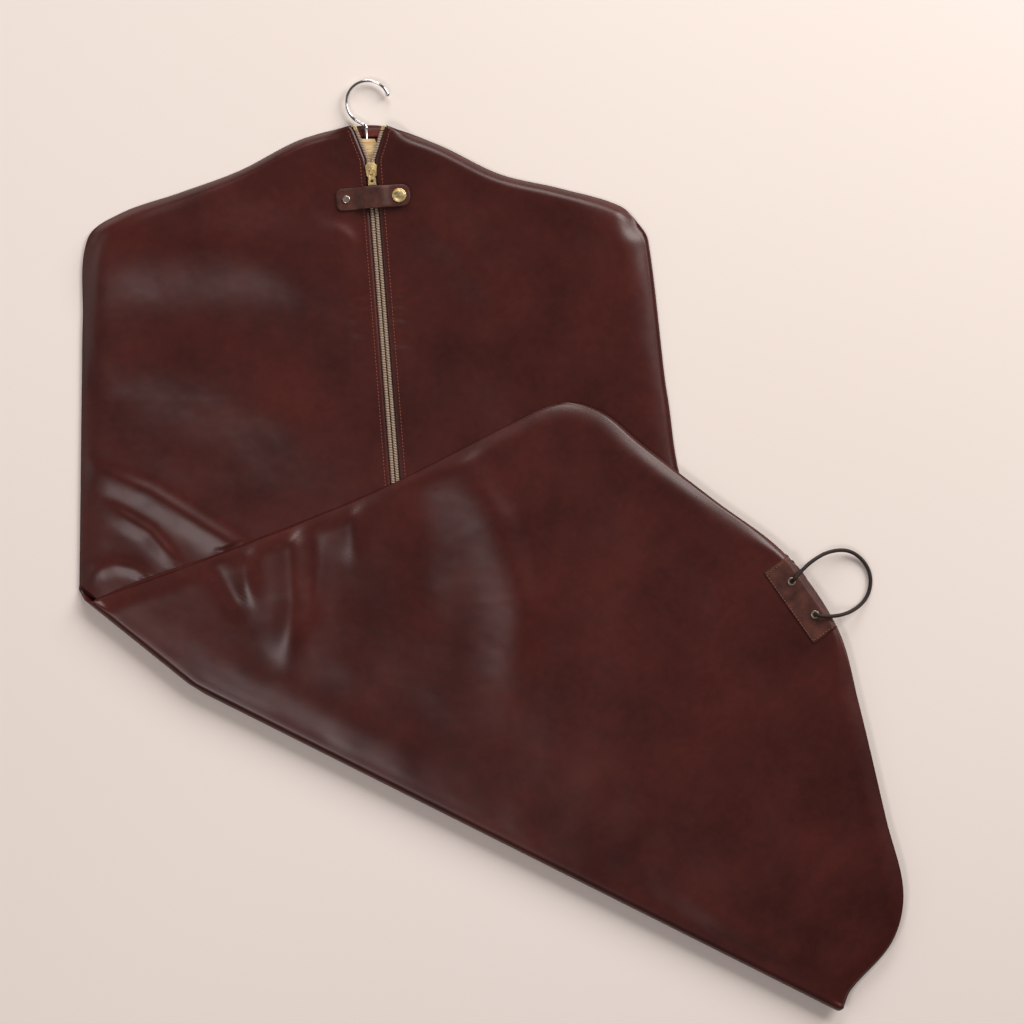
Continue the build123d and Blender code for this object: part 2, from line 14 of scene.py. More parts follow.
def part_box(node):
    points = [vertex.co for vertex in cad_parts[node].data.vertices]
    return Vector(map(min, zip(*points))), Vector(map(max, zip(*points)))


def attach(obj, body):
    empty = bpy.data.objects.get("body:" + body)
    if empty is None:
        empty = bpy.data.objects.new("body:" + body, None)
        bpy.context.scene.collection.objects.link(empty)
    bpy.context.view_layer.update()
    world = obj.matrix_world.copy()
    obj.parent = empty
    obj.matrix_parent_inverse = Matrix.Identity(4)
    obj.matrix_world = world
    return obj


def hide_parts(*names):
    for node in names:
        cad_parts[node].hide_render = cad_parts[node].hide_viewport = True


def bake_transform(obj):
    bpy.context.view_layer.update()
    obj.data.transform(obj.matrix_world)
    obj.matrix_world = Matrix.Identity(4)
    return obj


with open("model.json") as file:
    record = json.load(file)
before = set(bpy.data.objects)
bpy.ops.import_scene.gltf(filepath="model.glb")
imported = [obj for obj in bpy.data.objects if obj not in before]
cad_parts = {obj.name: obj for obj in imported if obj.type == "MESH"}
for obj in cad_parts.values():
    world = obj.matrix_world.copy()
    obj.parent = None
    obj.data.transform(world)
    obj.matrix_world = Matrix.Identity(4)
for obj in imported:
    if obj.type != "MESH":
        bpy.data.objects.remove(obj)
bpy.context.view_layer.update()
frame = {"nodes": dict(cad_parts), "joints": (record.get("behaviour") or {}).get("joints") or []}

log = logging.getLogger("garment_bag")
MM = 0.001
NODES = frame["nodes"]
JOINTS = {joint["name"]: joint for joint in frame["joints"]}


# ---------------------------------------------------------------- finishes

def linear(hex_colour: str) -> tuple[float, float, float, float]:
    """Turns an sRGB hex colour to a linear one.

    Args:
        hex_colour: Six hex digits.

    Returns:
        Red, green, blue and an alpha of 1.
    """
    channels = [int(hex_colour[i:i + 2], 16) / 255 for i in (0, 2, 4)]
    return tuple(c / 12.92 if c <= 0.04045 else ((c + 0.055) / 1.055) ** 2.4 for c in channels) + (1.0,)


def add_node(tree: bpy.types.NodeTree, kind: str, settings: dict, links: dict) -> bpy.types.Node:
    """Adds one shader node.

    Args:
        tree: The material's node tree.
        kind: The node's type name, without ShaderNode.
        settings: Values by property name, or by input name or number.
        links: Output sockets by input name or number.

    Returns:
        The new node.
    """
    node = tree.nodes.new("ShaderNode" + kind)
    for name, value in settings.items():
        if isinstance(name, str) and hasattr(node, name):
            setattr(node, name, value)
        else:
            node.inputs[name].default_value = value
    for name, socket in links.items():
        tree.links.new(socket, node.inputs[name])
    return node


def start_material(name: str) -> tuple:
    """Makes an empty node material.

    Args:
        name: The material's name.

    Returns:
        The material, its tree, its Principled shader and the object's own coordinates.
    """
    material = bpy.data.materials.new(name)
    material.use_nodes = True
    tree = material.node_tree
    tree.nodes.clear()
    shader = add_node(tree, "BsdfPrincipled", {}, {})
    add_node(tree, "OutputMaterial", {}, {"Surface": shader.outputs["BSDF"]})
    return material, tree, shader, add_node(tree, "TexCoord", {}, {}).outputs["Object"]


def grain(tree: bpy.types.NodeTree, place: bpy.types.NodeSocket, size_mm: float, detail: float,
          **settings: float) -> bpy.types.NodeSocket:
    """Adds a noise whose patches have a real size, and returns its value."""
    return add_node(tree, "TexNoise", {"Scale": 1 / (size_mm * MM), "Detail": detail, **settings},
                    {"Vector": place}).outputs[0]


def tint(tree: bpy.types.NodeTree, shader: bpy.types.Node, factor: bpy.types.NodeSocket,
         *stops: tuple[float, str]) -> None:
    """Colours a shader by a value.

    Args:
        tree: The material's node tree.
        shader: Its shader.
        factor: The value to map.
        stops: Pairs of position and sRGB hex colour.
    """
    node = add_node(tree, "ValToRGB", {}, {"Fac": factor})
    elements = node.color_ramp.elements
    while len(elements) < len(stops):
        elements.new(0.5)
    for element, (position, colour) in zip(elements, stops):
        element.position, element.color = position, linear(colour)
    tree.links.new(node.outputs["Color"], shader.inputs["Base Color"])


def relieve(tree: bpy.types.NodeTree, shader: bpy.types.Node, height: bpy.types.NodeSocket, strength: float,
            depth_mm: float) -> None:
    """Gives a shader a fine relief."""
    bump = add_node(tree, "Bump", {"Strength": strength, "Distance": depth_mm * MM}, {"Height": height})
    tree.links.new(bump.outputs[0], shader.inputs["Normal"])


@dataclass(frozen=True)
class Hide:
    """Vegetable-tanned calf, drum-dyed and waxed: mottled dye, fine pores and a soft broad sheen."""

    name: str
    dark: str
    middle: str
    light: str
    roughness: float = 0.40
    pore_mm: float = 0.9
    mottle_mm: float = 60.0
    bump_mm: float = 0.05

    def build(self) -> bpy.types.Material:
        """Makes the material."""
        material, tree, shader, place = start_material(self.name)
        mottle = grain(tree, place, self.mottle_mm, 6.0, Roughness=0.6)
        streak = grain(tree, place, 9 * self.pore_mm, 3.0)
        both = add_node(tree, "Mix", {"data_type": "FLOAT", 0: 0.22}, {2: mottle, 3: streak})
        tint(tree, shader, both.outputs[0], (0.36, self.dark), (0.5, self.middle), (0.66, self.light))
        pores = add_node(tree, "TexVoronoi", {"Scale": 1 / (self.pore_mm * MM)}, {"Vector": place})
        relief = add_node(tree, "Math", {"operation": "ADD"},
                          {0: pores.outputs["Distance"], 1: grain(tree, place, 3 * self.pore_mm, 4.0)})
        relieve(tree, shader, relief.outputs[0], 0.35, self.bump_mm)
        sheen = add_node(tree, "MapRange", {1: 0.3, 2: 0.7, 3: self.roughness - 0.02, 4: self.roughness + 0.03},
                         {0: mottle})
        tree.links.new(sheen.outputs[0], shader.inputs["Roughness"])
        shader.inputs["IOR"].default_value = 1.45
        return material


@dataclass(frozen=True)
class Cloth:
    """A plain weave, drawn as crossed threads that catch the light."""

    name: str
    warp: str
    weft: str
    thread_mm: float = 0.5
    roughness: float = 0.85

    def build(self) -> bpy.types.Material:
        """Makes the material."""
        material, tree, shader, place = start_material(self.name)
        scale = 1 / (2 * self.thread_mm * MM)
        across = add_node(tree, "TexWave", {"bands_direction": "X", "Scale": scale}, {"Vector": place})
        along = add_node(tree, "TexWave", {"bands_direction": "Y", "Scale": scale}, {"Vector": place})
        weave = add_node(tree, "Math", {"operation": "MAXIMUM"}, {0: across.outputs["Fac"], 1: along.outputs["Fac"]})
        tint(tree, shader, across.outputs["Fac"], (0.2, self.warp), (0.8, self.weft))
        relieve(tree, shader, weave.outputs[0], 0.5, 0.1)
        shader.inputs["Roughness"].default_value = self.roughness
        return material


@dataclass(frozen=True)
class Metal:
    """A plated or polished metal with faint tarnish and fine handling marks."""

    name: str
    bright: str
    dull: str
    roughness: float = 0.22
    blotch_mm: float = 4.0
    scratch_mm: float = 0.4

    def build(self) -> bpy.types.Material:
        """Makes the material."""
        material, tree, shader, place = start_material(self.name)
        blotch = grain(tree, place, self.blotch_mm, 5.0)
        tint(tree, shader, blotch, (0.35, self.dull), (0.6, self.bright))
        rough = add_node(tree, "MapRange", {1: 0.3, 2: 0.7, 3: self.roughness * 1.5, 4: self.roughness * 0.7},
                         {0: blotch})
        tree.links.new(rough.outputs[0], shader.inputs["Roughness"])
        relieve(tree, shader, grain(tree, place, self.scratch_mm, 2.0), 0.08, 0.02)
        shader.inputs["Metallic"].default_value = 1.0
        return material


@dataclass(frozen=True)
class Beech:
    """Pale beech, planed and lacquered: straight grain with short darker flecks."""

    name: str = "lacquered_beech"
    pale: str = "E6CFA2"
    fleck: str = "C09A62"
    ring_mm: float = 2.2

    def build(self) -> bpy.types.Material:
        """Makes the material."""
        material, tree, shader, place = start_material(self.name)
        stretch = add_node(tree, "Mapping", {"Scale": (0.12, 1.0, 1.0)}, {"Vector": place})
        rings = grain(tree, stretch.outputs[0], self.ring_mm, 6.0)
        tint(tree, shader, rings, (0.35, self.fleck), (0.6, self.pale))
        relieve(tree, shader, rings, 0.2, 0.1)
        shader.inputs["Roughness"].default_value = 0.42
        shader.inputs["Coat Weight"].default_value = 0.3
        return material


@dataclass(frozen=True)
class Plain:
    """Moulded nylon or waxed thread: one colour with a faint uneven gloss."""

    name: str
    colour: str
    shade: str
    roughness: float = 0.5
    grain_mm: float = 0.6

    def build(self) -> bpy.types.Material:
        """Makes the material."""
        material, tree, shader, place = start_material(self.name)
        speck = grain(tree, place, self.grain_mm, 3.0)
        tint(tree, shader, speck, (0.3, self.shade), (0.7, self.colour))
        relieve(tree, shader, speck, 0.3, 0.08)
        shader.inputs["Roughness"].default_value = self.roughness
        return material


class Finish(Enum):
    """The bag's finishes, by what each piece is made of."""

    HIDE = Hide("burgundy_waxed_calf", "36120F", "411713", "4C1C16", roughness=0.33, mottle_mm=90.0, bump_mm=0.02)
    TRIM = Hide("oxblood_trim_leather", "361812", "4A251C", "5C3126", roughness=0.5, mottle_mm=14.0)
    SUEDE = Hide("red_suede_facing", "4A1F1B", "6A302A", "80413A", roughness=0.9, bump_mm=0.15)
    LINING = Cloth("dark_twill_lining", "20191B", "2E2528")
    # The zip tape's dark red-brown colour is partly its own and partly painted shade: the shade that falls on it in the
    # narrow window under the leather edges.
    TAPE = Cloth("brown_zip_tape", "3A1D18", "512B23", thread_mm=0.4)
    COIL = Plain("taupe_nylon_coil", "C9B49E", "A8917C", roughness=0.4)
    BRASS = Metal("polished_brass", "FBE7B2", "EACB86", roughness=0.38)
    NICKEL = Metal("nickel_plate", "E4DCD2", "BDB3A8", roughness=0.28)
    CHROME = Metal("bright_chrome", "E2E2E4", "BFC0C4", roughness=0.10)
    BEECH = Beech()
    CORD = Plain("waxed_round_cord", "2A1711", "180E0B", roughness=0.72)
    THREAD = Plain("burgundy_waxed_thread", "9A5A46", "7C4233", roughness=0.55, grain_mm=0.4)


class Wardrobe:
    """Builds each finish once and hands it out."""

    def __init__(self) -> None:
        """Starts with no material made."""
        self.made: dict[Finish, bpy.types.Material] = {}

    def get(self, finish: Finish) -> bpy.types.Material:
        """Returns a finish's material, made at its first use."""
        if finish not in self.made:
            self.made[finish] = finish.value.build()
        return self.made[finish]

    def dress(self, piece: bpy.types.Object, *finishes: Finish) -> None:
        """Gives a piece its materials, the first one on most of it."""
        piece.data.materials.clear()
        for finish in finishes:
            piece.data.materials.append(self.get(finish))


WARDROBE = Wardrobe()


# ---------------------------------------------------------------- shapes

def smooth(t: np.ndarray) -> np.ndarray:
    """Eases a value from 0 to 1, flat at both ends."""
    t = np.clip(t, 0, 1)
    return t * t * (3 - 2 * t)


def new_piece(name: str, bm: bmesh.types.BMesh, shade_smooth: bool = True) -> bpy.types.Object:
    """Turns a bmesh into an object at the origin.

    Args:
        name: The object's name.
        bm: The mesh, which is freed.
        shade_smooth: Whether its faces are shaded smooth.

    Returns:
        The object, linked to the scene.
    """
    for face in bm.faces:
        face.smooth = shade_smooth
    mesh = bpy.data.meshes.new(name)
    bm.to_mesh(mesh)
    bm.free()
    piece = bpy.data.objects.new(name, mesh)
    bpy.context.scene.collection.objects.link(piece)
    return piece


def finish_piece(piece: bpy.types.Object, body: str | None, nodes: tuple[str, ...] = ()) -> None:
    """Hides the CAD nodes that a piece stands for, fixes it to its body when it has one, and logs its face count."""
    if nodes:
        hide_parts(*nodes)
    if body:
        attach(piece, body)
    log.info("%s: %d faces on %s", piece.name, len(piece.data.polygons), body or "two bodies")


def apply_modifiers(piece: bpy.types.Object) -> None:
    """Replaces a piece's mesh by what its modifiers make of it."""
    bpy.context.view_layer.update()
    evaluated = piece.evaluated_get(bpy.context.evaluated_depsgraph_get())
    mesh = bpy.data.meshes.new_from_object(evaluated)
    piece.modifiers.clear()
    piece.data = mesh


def softened(node: str, name: str, bevel_mm: float, segments: int = 3) -> bpy.types.Object:
    """Copies a hard CAD node and rounds its edges as real ones are broken.

    Args:
        node: The CAD node.
        name: The new piece's name.
        bevel_mm: The width of the rounding.
        segments: How many faces it takes across.

    Returns:
        The new piece.
    """
    bm = bmesh.new()
    bm.from_mesh(NODES[node].data)
    bmesh.ops.remove_doubles(bm, verts=bm.verts, dist=1e-6)
    bmesh.ops.dissolve_limit(bm, angle_limit=math.radians(0.3), verts=bm.verts, edges=bm.edges)
    sharp = [e for e in bm.edges if len(e.link_faces) == 2 and e.calc_face_angle(0) > math.radians(40)]
    if bevel_mm > 0:
        bmesh.ops.bevel(bm, geom=sharp, offset=bevel_mm * MM, offset_type="OFFSET", affect="EDGES",
                        segments=segments, profile=0.5, material=-1, clamp_overlap=True)
    bmesh.ops.recalc_face_normals(bm, faces=bm.faces)
    piece = new_piece(name, bm)
    piece.data.set_sharp_from_angle(angle=math.radians(35))
    return piece


def repeated(name: str, places: list[Matrix], segments: int = 6, rings: int = 5) -> bpy.types.Object:
    """Sets many copies of one small rounded bead into a piece.

    Args:
        name: The piece's name.
        places: Each bead's place, turn and size, its long axis along X.
        segments: Faces round the bead.
        rings: Faces along it.

    Returns:
        The piece.
    """
    bead = bmesh.new()
    bmesh.ops.create_uvsphere(bead, u_segments=segments, v_segments=rings, radius=1.0,
                              matrix=Matrix.Rotation(math.pi / 2, 4, "Y"))
    pattern = bpy.data.meshes.new("bead")
    bead.to_mesh(pattern)
    bead.free()
    bm = bmesh.new()
    for place in places:
        copy = pattern.copy()
        copy.transform(place)
        bm.from_mesh(copy)
        bpy.data.meshes.remove(copy)
    bpy.data.meshes.remove(pattern)
    return new_piece(name, bm)


def face_loop(node: str, up: float = 1.0) -> list[Vector]:
    """Reads the outline of a plate's face, anticlockwise seen from above.

    Args:
        node: The CAD node.
        up: 1 for its upper face, -1 for its lower face.

    Returns:
        The corner points of its longest loop.
    """
    bm = bmesh.new()
    bm.from_mesh(NODES[node].data)
    bmesh.ops.remove_doubles(bm, verts=bm.verts, dist=1e-6)
    bmesh.ops.delete(bm, geom=[f for f in bm.faces if f.normal.z * up < 0.9], context="FACES")
    rim = {e for e in bm.edges if len(e.link_faces) == 1}
    loops = []
    while rim:
        edge = rim.pop()
        start, vert = edge.verts
        loop = [start.co.copy()]
        while vert is not start:
            loop.append(vert.co.copy())
            edge = next(e for e in vert.link_edges if e in rim)
            rim.discard(edge)
            vert = edge.other_vert(vert)
        loops.append(loop)
    bm.free()
    longest = max(loops, key=lambda l: sum((a - b).length for a, b in zip(l, l[1:] + l[:1])))
    area = sum(a.x * b.y - b.x * a.y for a, b in zip(longest, longest[1:] + longest[:1]))
    return longest if area > 0 else longest[::-1]


def in_plan(v: Vector) -> np.ndarray:
    """A point or direction seen from above."""
    return np.array(v.to_2d())


def nearest(loop: list[Vector], point: Vector) -> int:
    """The number of the loop's corner that is nearest to a point."""
    return min(range(len(loop)), key=lambda i: (loop[i] - point).length)


def run_between(loop: list[Vector], start: Vector, end: Vector) -> list[Vector]:
    """Takes the points of a loop from one to another, in the loop's own direction."""
    a, b = nearest(loop, start), nearest(loop, end)
    return [loop[i % len(loop)] for i in range(a, b + 1 if b > a else b + len(loop) + 1)]


def curve_between(loop: list[Vector], start: Vector, end: Vector, before: bool = False,
                  after: bool = False) -> np.ndarray:
    """Runs smoothly along a loop.

    Args:
        loop: The outline's corners.
        start: Where the run starts.
        end: Where it ends.
        before: Whether the outline also bends smoothly through the start.
        after: Whether it also bends smoothly through the end.

    Returns:
        An array of plan positions, evenly spaced.
    """
    lead = loop[nearest(loop, start) - 1] if before else None
    tail = loop[(nearest(loop, end) + 1) % len(loop)] if after else None
    return resample(run_between(loop, start, end), True, lead, tail)


def resample(points: list[Vector], curved: bool, lead: Vector | None = None,
             tail: Vector | None = None) -> np.ndarray:
    """Makes a fine path through points.

    Args:
        points: The points that the path passes.
        curved: Whether it bends smoothly through them, or runs straight between them.
        lead: The corner before the first point, where the path comes smoothly from it.
        tail: The corner after the last point, where the path goes smoothly on to it.

    Returns:
        An array of plan positions, evenly spaced.
    """
    p = np.array([in_plan(v) for v in points])
    keep = np.r_[True, np.linalg.norm(np.diff(p, axis=0), axis=1) > 1e-4]
    p = p[keep]
    if curved and len(p) > 1:
        first = 2 * p[0] - p[1] if lead is None else in_plan(lead)
        final = 2 * p[-1] - p[-2] if tail is None else in_plan(tail)
        padded = np.vstack([first, p, final])
        out = []
        for a, b, c, d in zip(padded, padded[1:], padded[2:], padded[3:]):
            t = np.linspace(0, 1, 24, endpoint=False)[:, None]
            chord = np.linalg.norm(c - b)
            m1 = (c - a) / max(np.linalg.norm(c - a), 1e-9) * chord
            m2 = (d - b) / max(np.linalg.norm(d - b), 1e-9) * chord
            h = t * t
            k = h * t
            out.append((2 * k - 3 * h + 1) * b + (k - 2 * h + t) * m1 + (3 * h - 2 * k) * c + (k - h) * m2)
        p = np.vstack(out + [p[-1:]])
    length = np.r_[0, np.cumsum(np.linalg.norm(np.diff(p, axis=0), axis=1))]
    at = np.linspace(0, length[-1], 400)
    return np.column_stack([np.interp(at, length, p[:, 0]), np.interp(at, length, p[:, 1])])


def along(path: np.ndarray, t: np.ndarray) -> np.ndarray:
    """Reads an evenly spaced path at shares of its length."""
    at = np.linspace(0, 1, len(path))
    return np.column_stack([np.interp(t, at, path[:, 0]), np.interp(t, at, path[:, 1])])


def coons(u: np.ndarray, v: np.ndarray, low: np.ndarray, high: np.ndarray, left: np.ndarray,
          right: np.ndarray) -> np.ndarray:
    """Fills four edges with a patch.

    Args:
        u: Shares from left to right, one for each point.
        v: Shares from the low edge to the high one.
        low: The edge at v = 0, from left to right.
        high: The edge at v = 1, from left to right.
        left: The edge at u = 0, from low to high.
        right: The edge at u = 1, from low to high.

    Returns:
        Plan positions.
    """
    a, b = u[:, None], v[:, None]
    corners = ((1 - a) * (1 - b) * low[0] + a * (1 - b) * low[-1] + (1 - a) * b * high[0] + a * b * high[-1])
    return ((1 - b) * along(low, u) + b * along(high, u) + (1 - a) * along(left, v) + a * along(right, v)
            - corners)


def distance_to(points: np.ndarray, path: np.ndarray, count: int = 160) -> np.ndarray:
    """Measures how far points lie from a path in plan."""
    fine = along(path, np.linspace(0, 1, count))
    best = np.full(len(points), 1e9)
    for a, b in zip(fine, fine[1:]):
        d = b - a
        t = np.clip(((points - a) @ d) / max(d @ d, 1e-12), 0, 1)
        best = np.minimum(best, np.linalg.norm(points - a - t[:, None] * d, axis=1))
    return best


@dataclass(frozen=True)
class Crease:
    """A raised fold or a hollow of the leather, along a line in plan (metres, in the bag's frame)."""

    line: tuple[tuple[float, float], ...]
    width: float
    height: float
    lean: float = 0.0

    def relief(self, points: np.ndarray) -> np.ndarray:
        """Gives its height at each point.

        Args:
            points: Plan positions.

        Returns:
            Heights in metres, which fade towards the line's two ends.
        """
        best = np.full(len(points), 1e9)
        side = np.zeros(len(points))
        share = np.zeros(len(points))
        ends = np.array(self.line)
        lengths = np.linalg.norm(np.diff(ends, axis=0), axis=1)
        total, done = lengths.sum(), 0.0
        for a, b, length in zip(ends, ends[1:], lengths):
            d = (b - a) / length
            offset = points - a
            t = np.clip(offset @ d, 0, length)
            gap = offset - t[:, None] * d
            dist = np.linalg.norm(gap, axis=1)
            near = dist < best
            cross = d[0] * offset[:, 1] - d[1] * offset[:, 0]
            side = np.where(near, np.sign(cross), side)
            share = np.where(near, (done + t) / total, share)
            best = np.where(near, dist, best)
            done += length
        width = self.width * np.where(side > 0, 1 + self.lean, 1 - self.lean)
        fade = smooth(np.minimum(share, 1 - share) * 3.0)
        return self.height * np.exp(-(best / width) ** 2) * (0.15 + 0.85 * fade)


def ripples(points: np.ndarray, scale_mm: float, height_mm: float, seed: float) -> np.ndarray:
    """Gives the low waves that flat leather keeps.

    Args:
        points: Plan positions.
        scale_mm: The waves' size.
        height_mm: How high they stand.
        seed: Which pattern it is.

    Returns:
        Heights in metres.
    """
    k = 1 / (scale_mm * MM)
    return np.array([noise.fractal(Vector((x * k, y * k, seed)), 0.6, 2.0, 3) for x, y in points]) * height_mm * MM


def grid_piece(name: str, columns: int, rows: int) -> tuple[bpy.types.Object, np.ndarray, np.ndarray]:
    """Makes a flat grid, and tells where each of its points is.

    Args:
        name: The piece's name.
        columns: Faces from left to right.
        rows: Faces from the low edge to the high one.

    Returns:
        The piece, and each point's shares across and along.
    """
    bm = bmesh.new()
    bmesh.ops.create_grid(bm, x_segments=columns, y_segments=rows, size=0.5)
    piece = new_piece(name, bm)
    co = np.zeros(len(piece.data.vertices) * 3)
    piece.data.vertices.foreach_get("co", co)
    co = co.reshape(-1, 3)
    return piece, co[:, 0] + 0.5, co[:, 1] + 0.5


def lay_sheet(piece: bpy.types.Object, plan: np.ndarray, height: np.ndarray, thickness_mm: float,
              *finishes: Finish, face_down: bool = False) -> None:
    """Bends a grid to its place as a sheet of leather or cloth.

    Args:
        piece: The grid.
        plan: Each point's plan position.
        height: Each point's height.
        thickness_mm: The sheet's thickness, inwards from its outer face.
        finishes: The outer face's finish, then the inner face's where the sheet is lined.
        face_down: Whether its outer face looks down.
    """
    piece.data.vertices.foreach_set("co", np.column_stack([plan, height]).ravel())
    piece.data.update()
    if face_down:
        bm = bmesh.new()
        bm.from_mesh(piece.data)
        bmesh.ops.reverse_faces(bm, faces=bm.faces)
        bm.to_mesh(piece.data)
        bm.free()
    wall = piece.modifiers.new("thickness", "SOLIDIFY")
    wall.thickness = thickness_mm * MM
    wall.offset = -1.0
    wall.use_even_offset = False
    wall.material_offset = len(finishes) - 1
    apply_modifiers(piece)
    WARDROBE.dress(piece, *finishes)


TREES: dict[str, BVHTree] = {}  # each skin's search tree, made once


def drop_seen(piece: bpy.types.Object, x: float, y: float, from_above: bool = True) -> float:
    """Finds the height of a piece's surface over a point of the floor."""
    tree = TREES.setdefault(piece.name, BVHTree.FromObject(piece, bpy.context.evaluated_depsgraph_get()))
    start, way = (1.0, -1.0) if from_above else (-1.0, 1.0)
    hit = tree.ray_cast(Vector((x, y, start)), Vector((0, 0, way)))[0]
    return hit.z if hit else math.nan


# ---------------------------------------------------------------- the bag's own lines

class BagLines:
    """Where the bag's fold, zip, seams and heights are, read from the frame."""

    def __init__(self) -> None:
        """Reads the fold's axis, the zip and the outlines."""
        fold = JOINTS["bag_fold"]
        self.axis_point = Vector(fold["pos_m"])
        self.axis = Vector(fold["axis"]).normalized()
        self.into_bag = Vector((-self.axis.y, self.axis.x, 0))
        self.radius = self.axis_point.z
        slide = JOINTS["slider_run"]
        self.zip_place = Vector(slide.get("pos_m", (0, 0, 0)))
        self.zip_down = Vector(slide["axis"]).normalized()
        self.upper = face_loop("back_panel_upper")
        self.lower = face_loop("back_panel_lower")
        self.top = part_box("back_panel_lower")[1].z
        self.front_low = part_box("front_panel_left_lower")[0].z
        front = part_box("front_panel_left_upper")[1]
        loop = face_loop("front_panel_left_upper")
        self.flat = min(p.z for p in loop)
        self.slope = -self.zip_down.z / math.hypot(self.zip_down.x, self.zip_down.y)
        self.kink = front.y - (front.z - self.flat) / self.slope

    def fold_distance(self, p: Vector) -> float:
        """How far a point lies on the bag's side of the fold line."""
        return (p - self.axis_point).to_2d().dot(self.into_bag.to_2d())

    def fold_ends(self, loop: list[Vector]) -> tuple[Vector, Vector]:
        """The ends of a loop's edge along the fold, left then right."""
        near = [p for p in loop if abs(self.fold_distance(p)) < 1.0 * MM]
        near.sort(key=lambda p: (p - self.axis_point).dot(self.axis))
        return near[0], near[-1]

    def before(self, loop: list[Vector], point: Vector) -> Vector:
        """The corner that comes before a given one in a loop."""
        return loop[nearest(loop, point) - 1]

    def from_fold(self, plan: np.ndarray) -> np.ndarray:
        """How far plan positions lie on the bag's side of the fold line."""
        return (plan - in_plan(self.axis_point)) @ in_plan(self.into_bag)

    def surface(self, y: np.ndarray) -> np.ndarray:
        """The height of the front's outer face."""
        return self.flat + np.maximum(0, (y - self.kink) * self.slope)


LINES = BagLines()


UPPER_LEFT_FOLDS = (
    Crease(((-0.455, 0.296), (-0.380, 0.300), (-0.270, 0.306), (-0.120, 0.290)), 0.048, 0.0085),
    Crease(((-0.423, 0.190), (-0.272, 0.168), (-0.157, 0.100)), 0.045, 0.0034),
    Crease(((-0.432, 0.084), (-0.355, 0.053), (-0.262, -0.005), (-0.220, -0.035)), 0.013, 0.0042, -0.3),
    Crease(((-0.410, 0.045), (-0.355, 0.012), (-0.318, -0.030)), 0.009, 0.0028, -0.3),
    Crease(((-0.426, -0.042), (-0.410, -0.028), (-0.390, -0.022), (-0.370, -0.026), (-0.350, -0.042)), 0.008, 0.0018),
    Crease(((-0.166, 0.430), (-0.150, 0.400), (-0.136, 0.372)), 0.008, 0.0018),
    Crease(((-0.166, 0.343), (-0.150, 0.322), (-0.134, 0.306)), 0.009, 0.0022),
)
UPPER_RIGHT_FOLDS = (
    Crease(((-0.095, 0.358), (-0.022, 0.306), (0.012, 0.240)), 0.028, 0.0030),
    Crease(((0.072, 0.342), (0.120, 0.326), (0.156, 0.300)), 0.022, 0.0026),
    Crease(((-0.053, 0.222), (0.020, 0.170), (0.072, 0.129)), 0.055, 0.0018),
)
ZIP_PUCKERS = tuple(
    Crease(((x, y), (x + 0.024, y + lift)), 0.0026, 0.0009)
    for x, y, lift in ((-0.149, 0.2505, 0.001), (-0.147, 0.242, -0.001), (-0.150, 0.232, 0.002),
                       (-0.146, 0.219, -0.001), (-0.108, 0.258, 0.002), (-0.107, 0.248, 0.001),
                       (-0.106, 0.235, -0.001), (-0.104, 0.207, 0.001)))
FLAP_FOLDS = (
    Crease(((-0.062, 0.110), (-0.030, 0.080), (0.006, 0.024), (0.030, -0.059), (0.020, -0.160)), 0.026, 0.0060, -0.2),
    Crease(((-0.257, 0.020), (-0.255, 0.003), (-0.250, -0.070)), 0.009, 0.0030),
    Crease(((-0.216, 0.060), (-0.209, 0.019), (-0.202, -0.059), (-0.216, -0.140)), 0.014, 0.0054, -0.2),
    Crease(((-0.150, 0.090), (-0.145, 0.050), (-0.142, -0.030)), 0.010, 0.0030),
    Crease(((-0.292, -0.012), (-0.276, -0.040), (-0.250, -0.085)), 0.011, -0.0030),
    Crease(((-0.180, 0.030), (-0.180, -0.020), (-0.188, -0.095)), 0.013, -0.0034),
    Crease(((-0.080, 0.090), (-0.070, 0.040), (-0.063, -0.110)), 0.026, -0.0028),
    Crease(((-0.330, -0.092), (-0.230, -0.146), (-0.110, -0.205), (-0.020, -0.246)), 0.018, 0.0014),
    Crease(((-0.199, -0.049), (-0.170, -0.100), (-0.147, -0.163)), 0.038, 0.0012),
    Crease(((0.187, 0.014), (0.250, -0.045), (0.302, -0.101)), 0.024, 0.0022),
    Crease(((0.190, -0.362), (0.270, -0.408), (0.354, -0.450)), 0.014, 0.0024),
    Crease(((0.114, 0.118), (0.140, 0.060), (0.156, -0.017)), 0.040, 0.0020),
    Crease(((0.072, -0.111), (0.150, -0.180), (0.218, -0.268)), 0.060, 0.0012),
)


def rise(to_edge: np.ndarray, flange_mm: float, width_mm: float | np.ndarray) -> np.ndarray:
    """Gives the rounding beside a turned seam: a flat flange, then a soft swell.

    Args:
        to_edge: How far each point lies from the seam.
        flange_mm: The flat strip's width.
        width_mm: The swell's width.

    Returns:
        Shares, 0 at the seam and 1 where the panel is level.
    """
    share = np.clip((to_edge - flange_mm * MM) / (width_mm * MM), 0, 1)
    return 0.35 * np.sqrt(np.clip(1 - (1 - share) ** 2, 0, 1)) + 0.65 * np.sin(share * math.pi / 2)


def clear_of(distance: np.ndarray, reach_fade_mm: tuple[float, float]) -> np.ndarray:
    """Fades from 0 within a reach of something to 1 beyond it."""
    reach, fade = reach_fade_mm
    return smooth((distance - reach * MM) / (fade * MM))


def total_relief(creases: tuple[Crease, ...], plan: np.ndarray) -> np.ndarray:
    """Adds up the heights of several creases."""
    return sum((crease.relief(plan) for crease in creases), np.zeros(len(plan)))


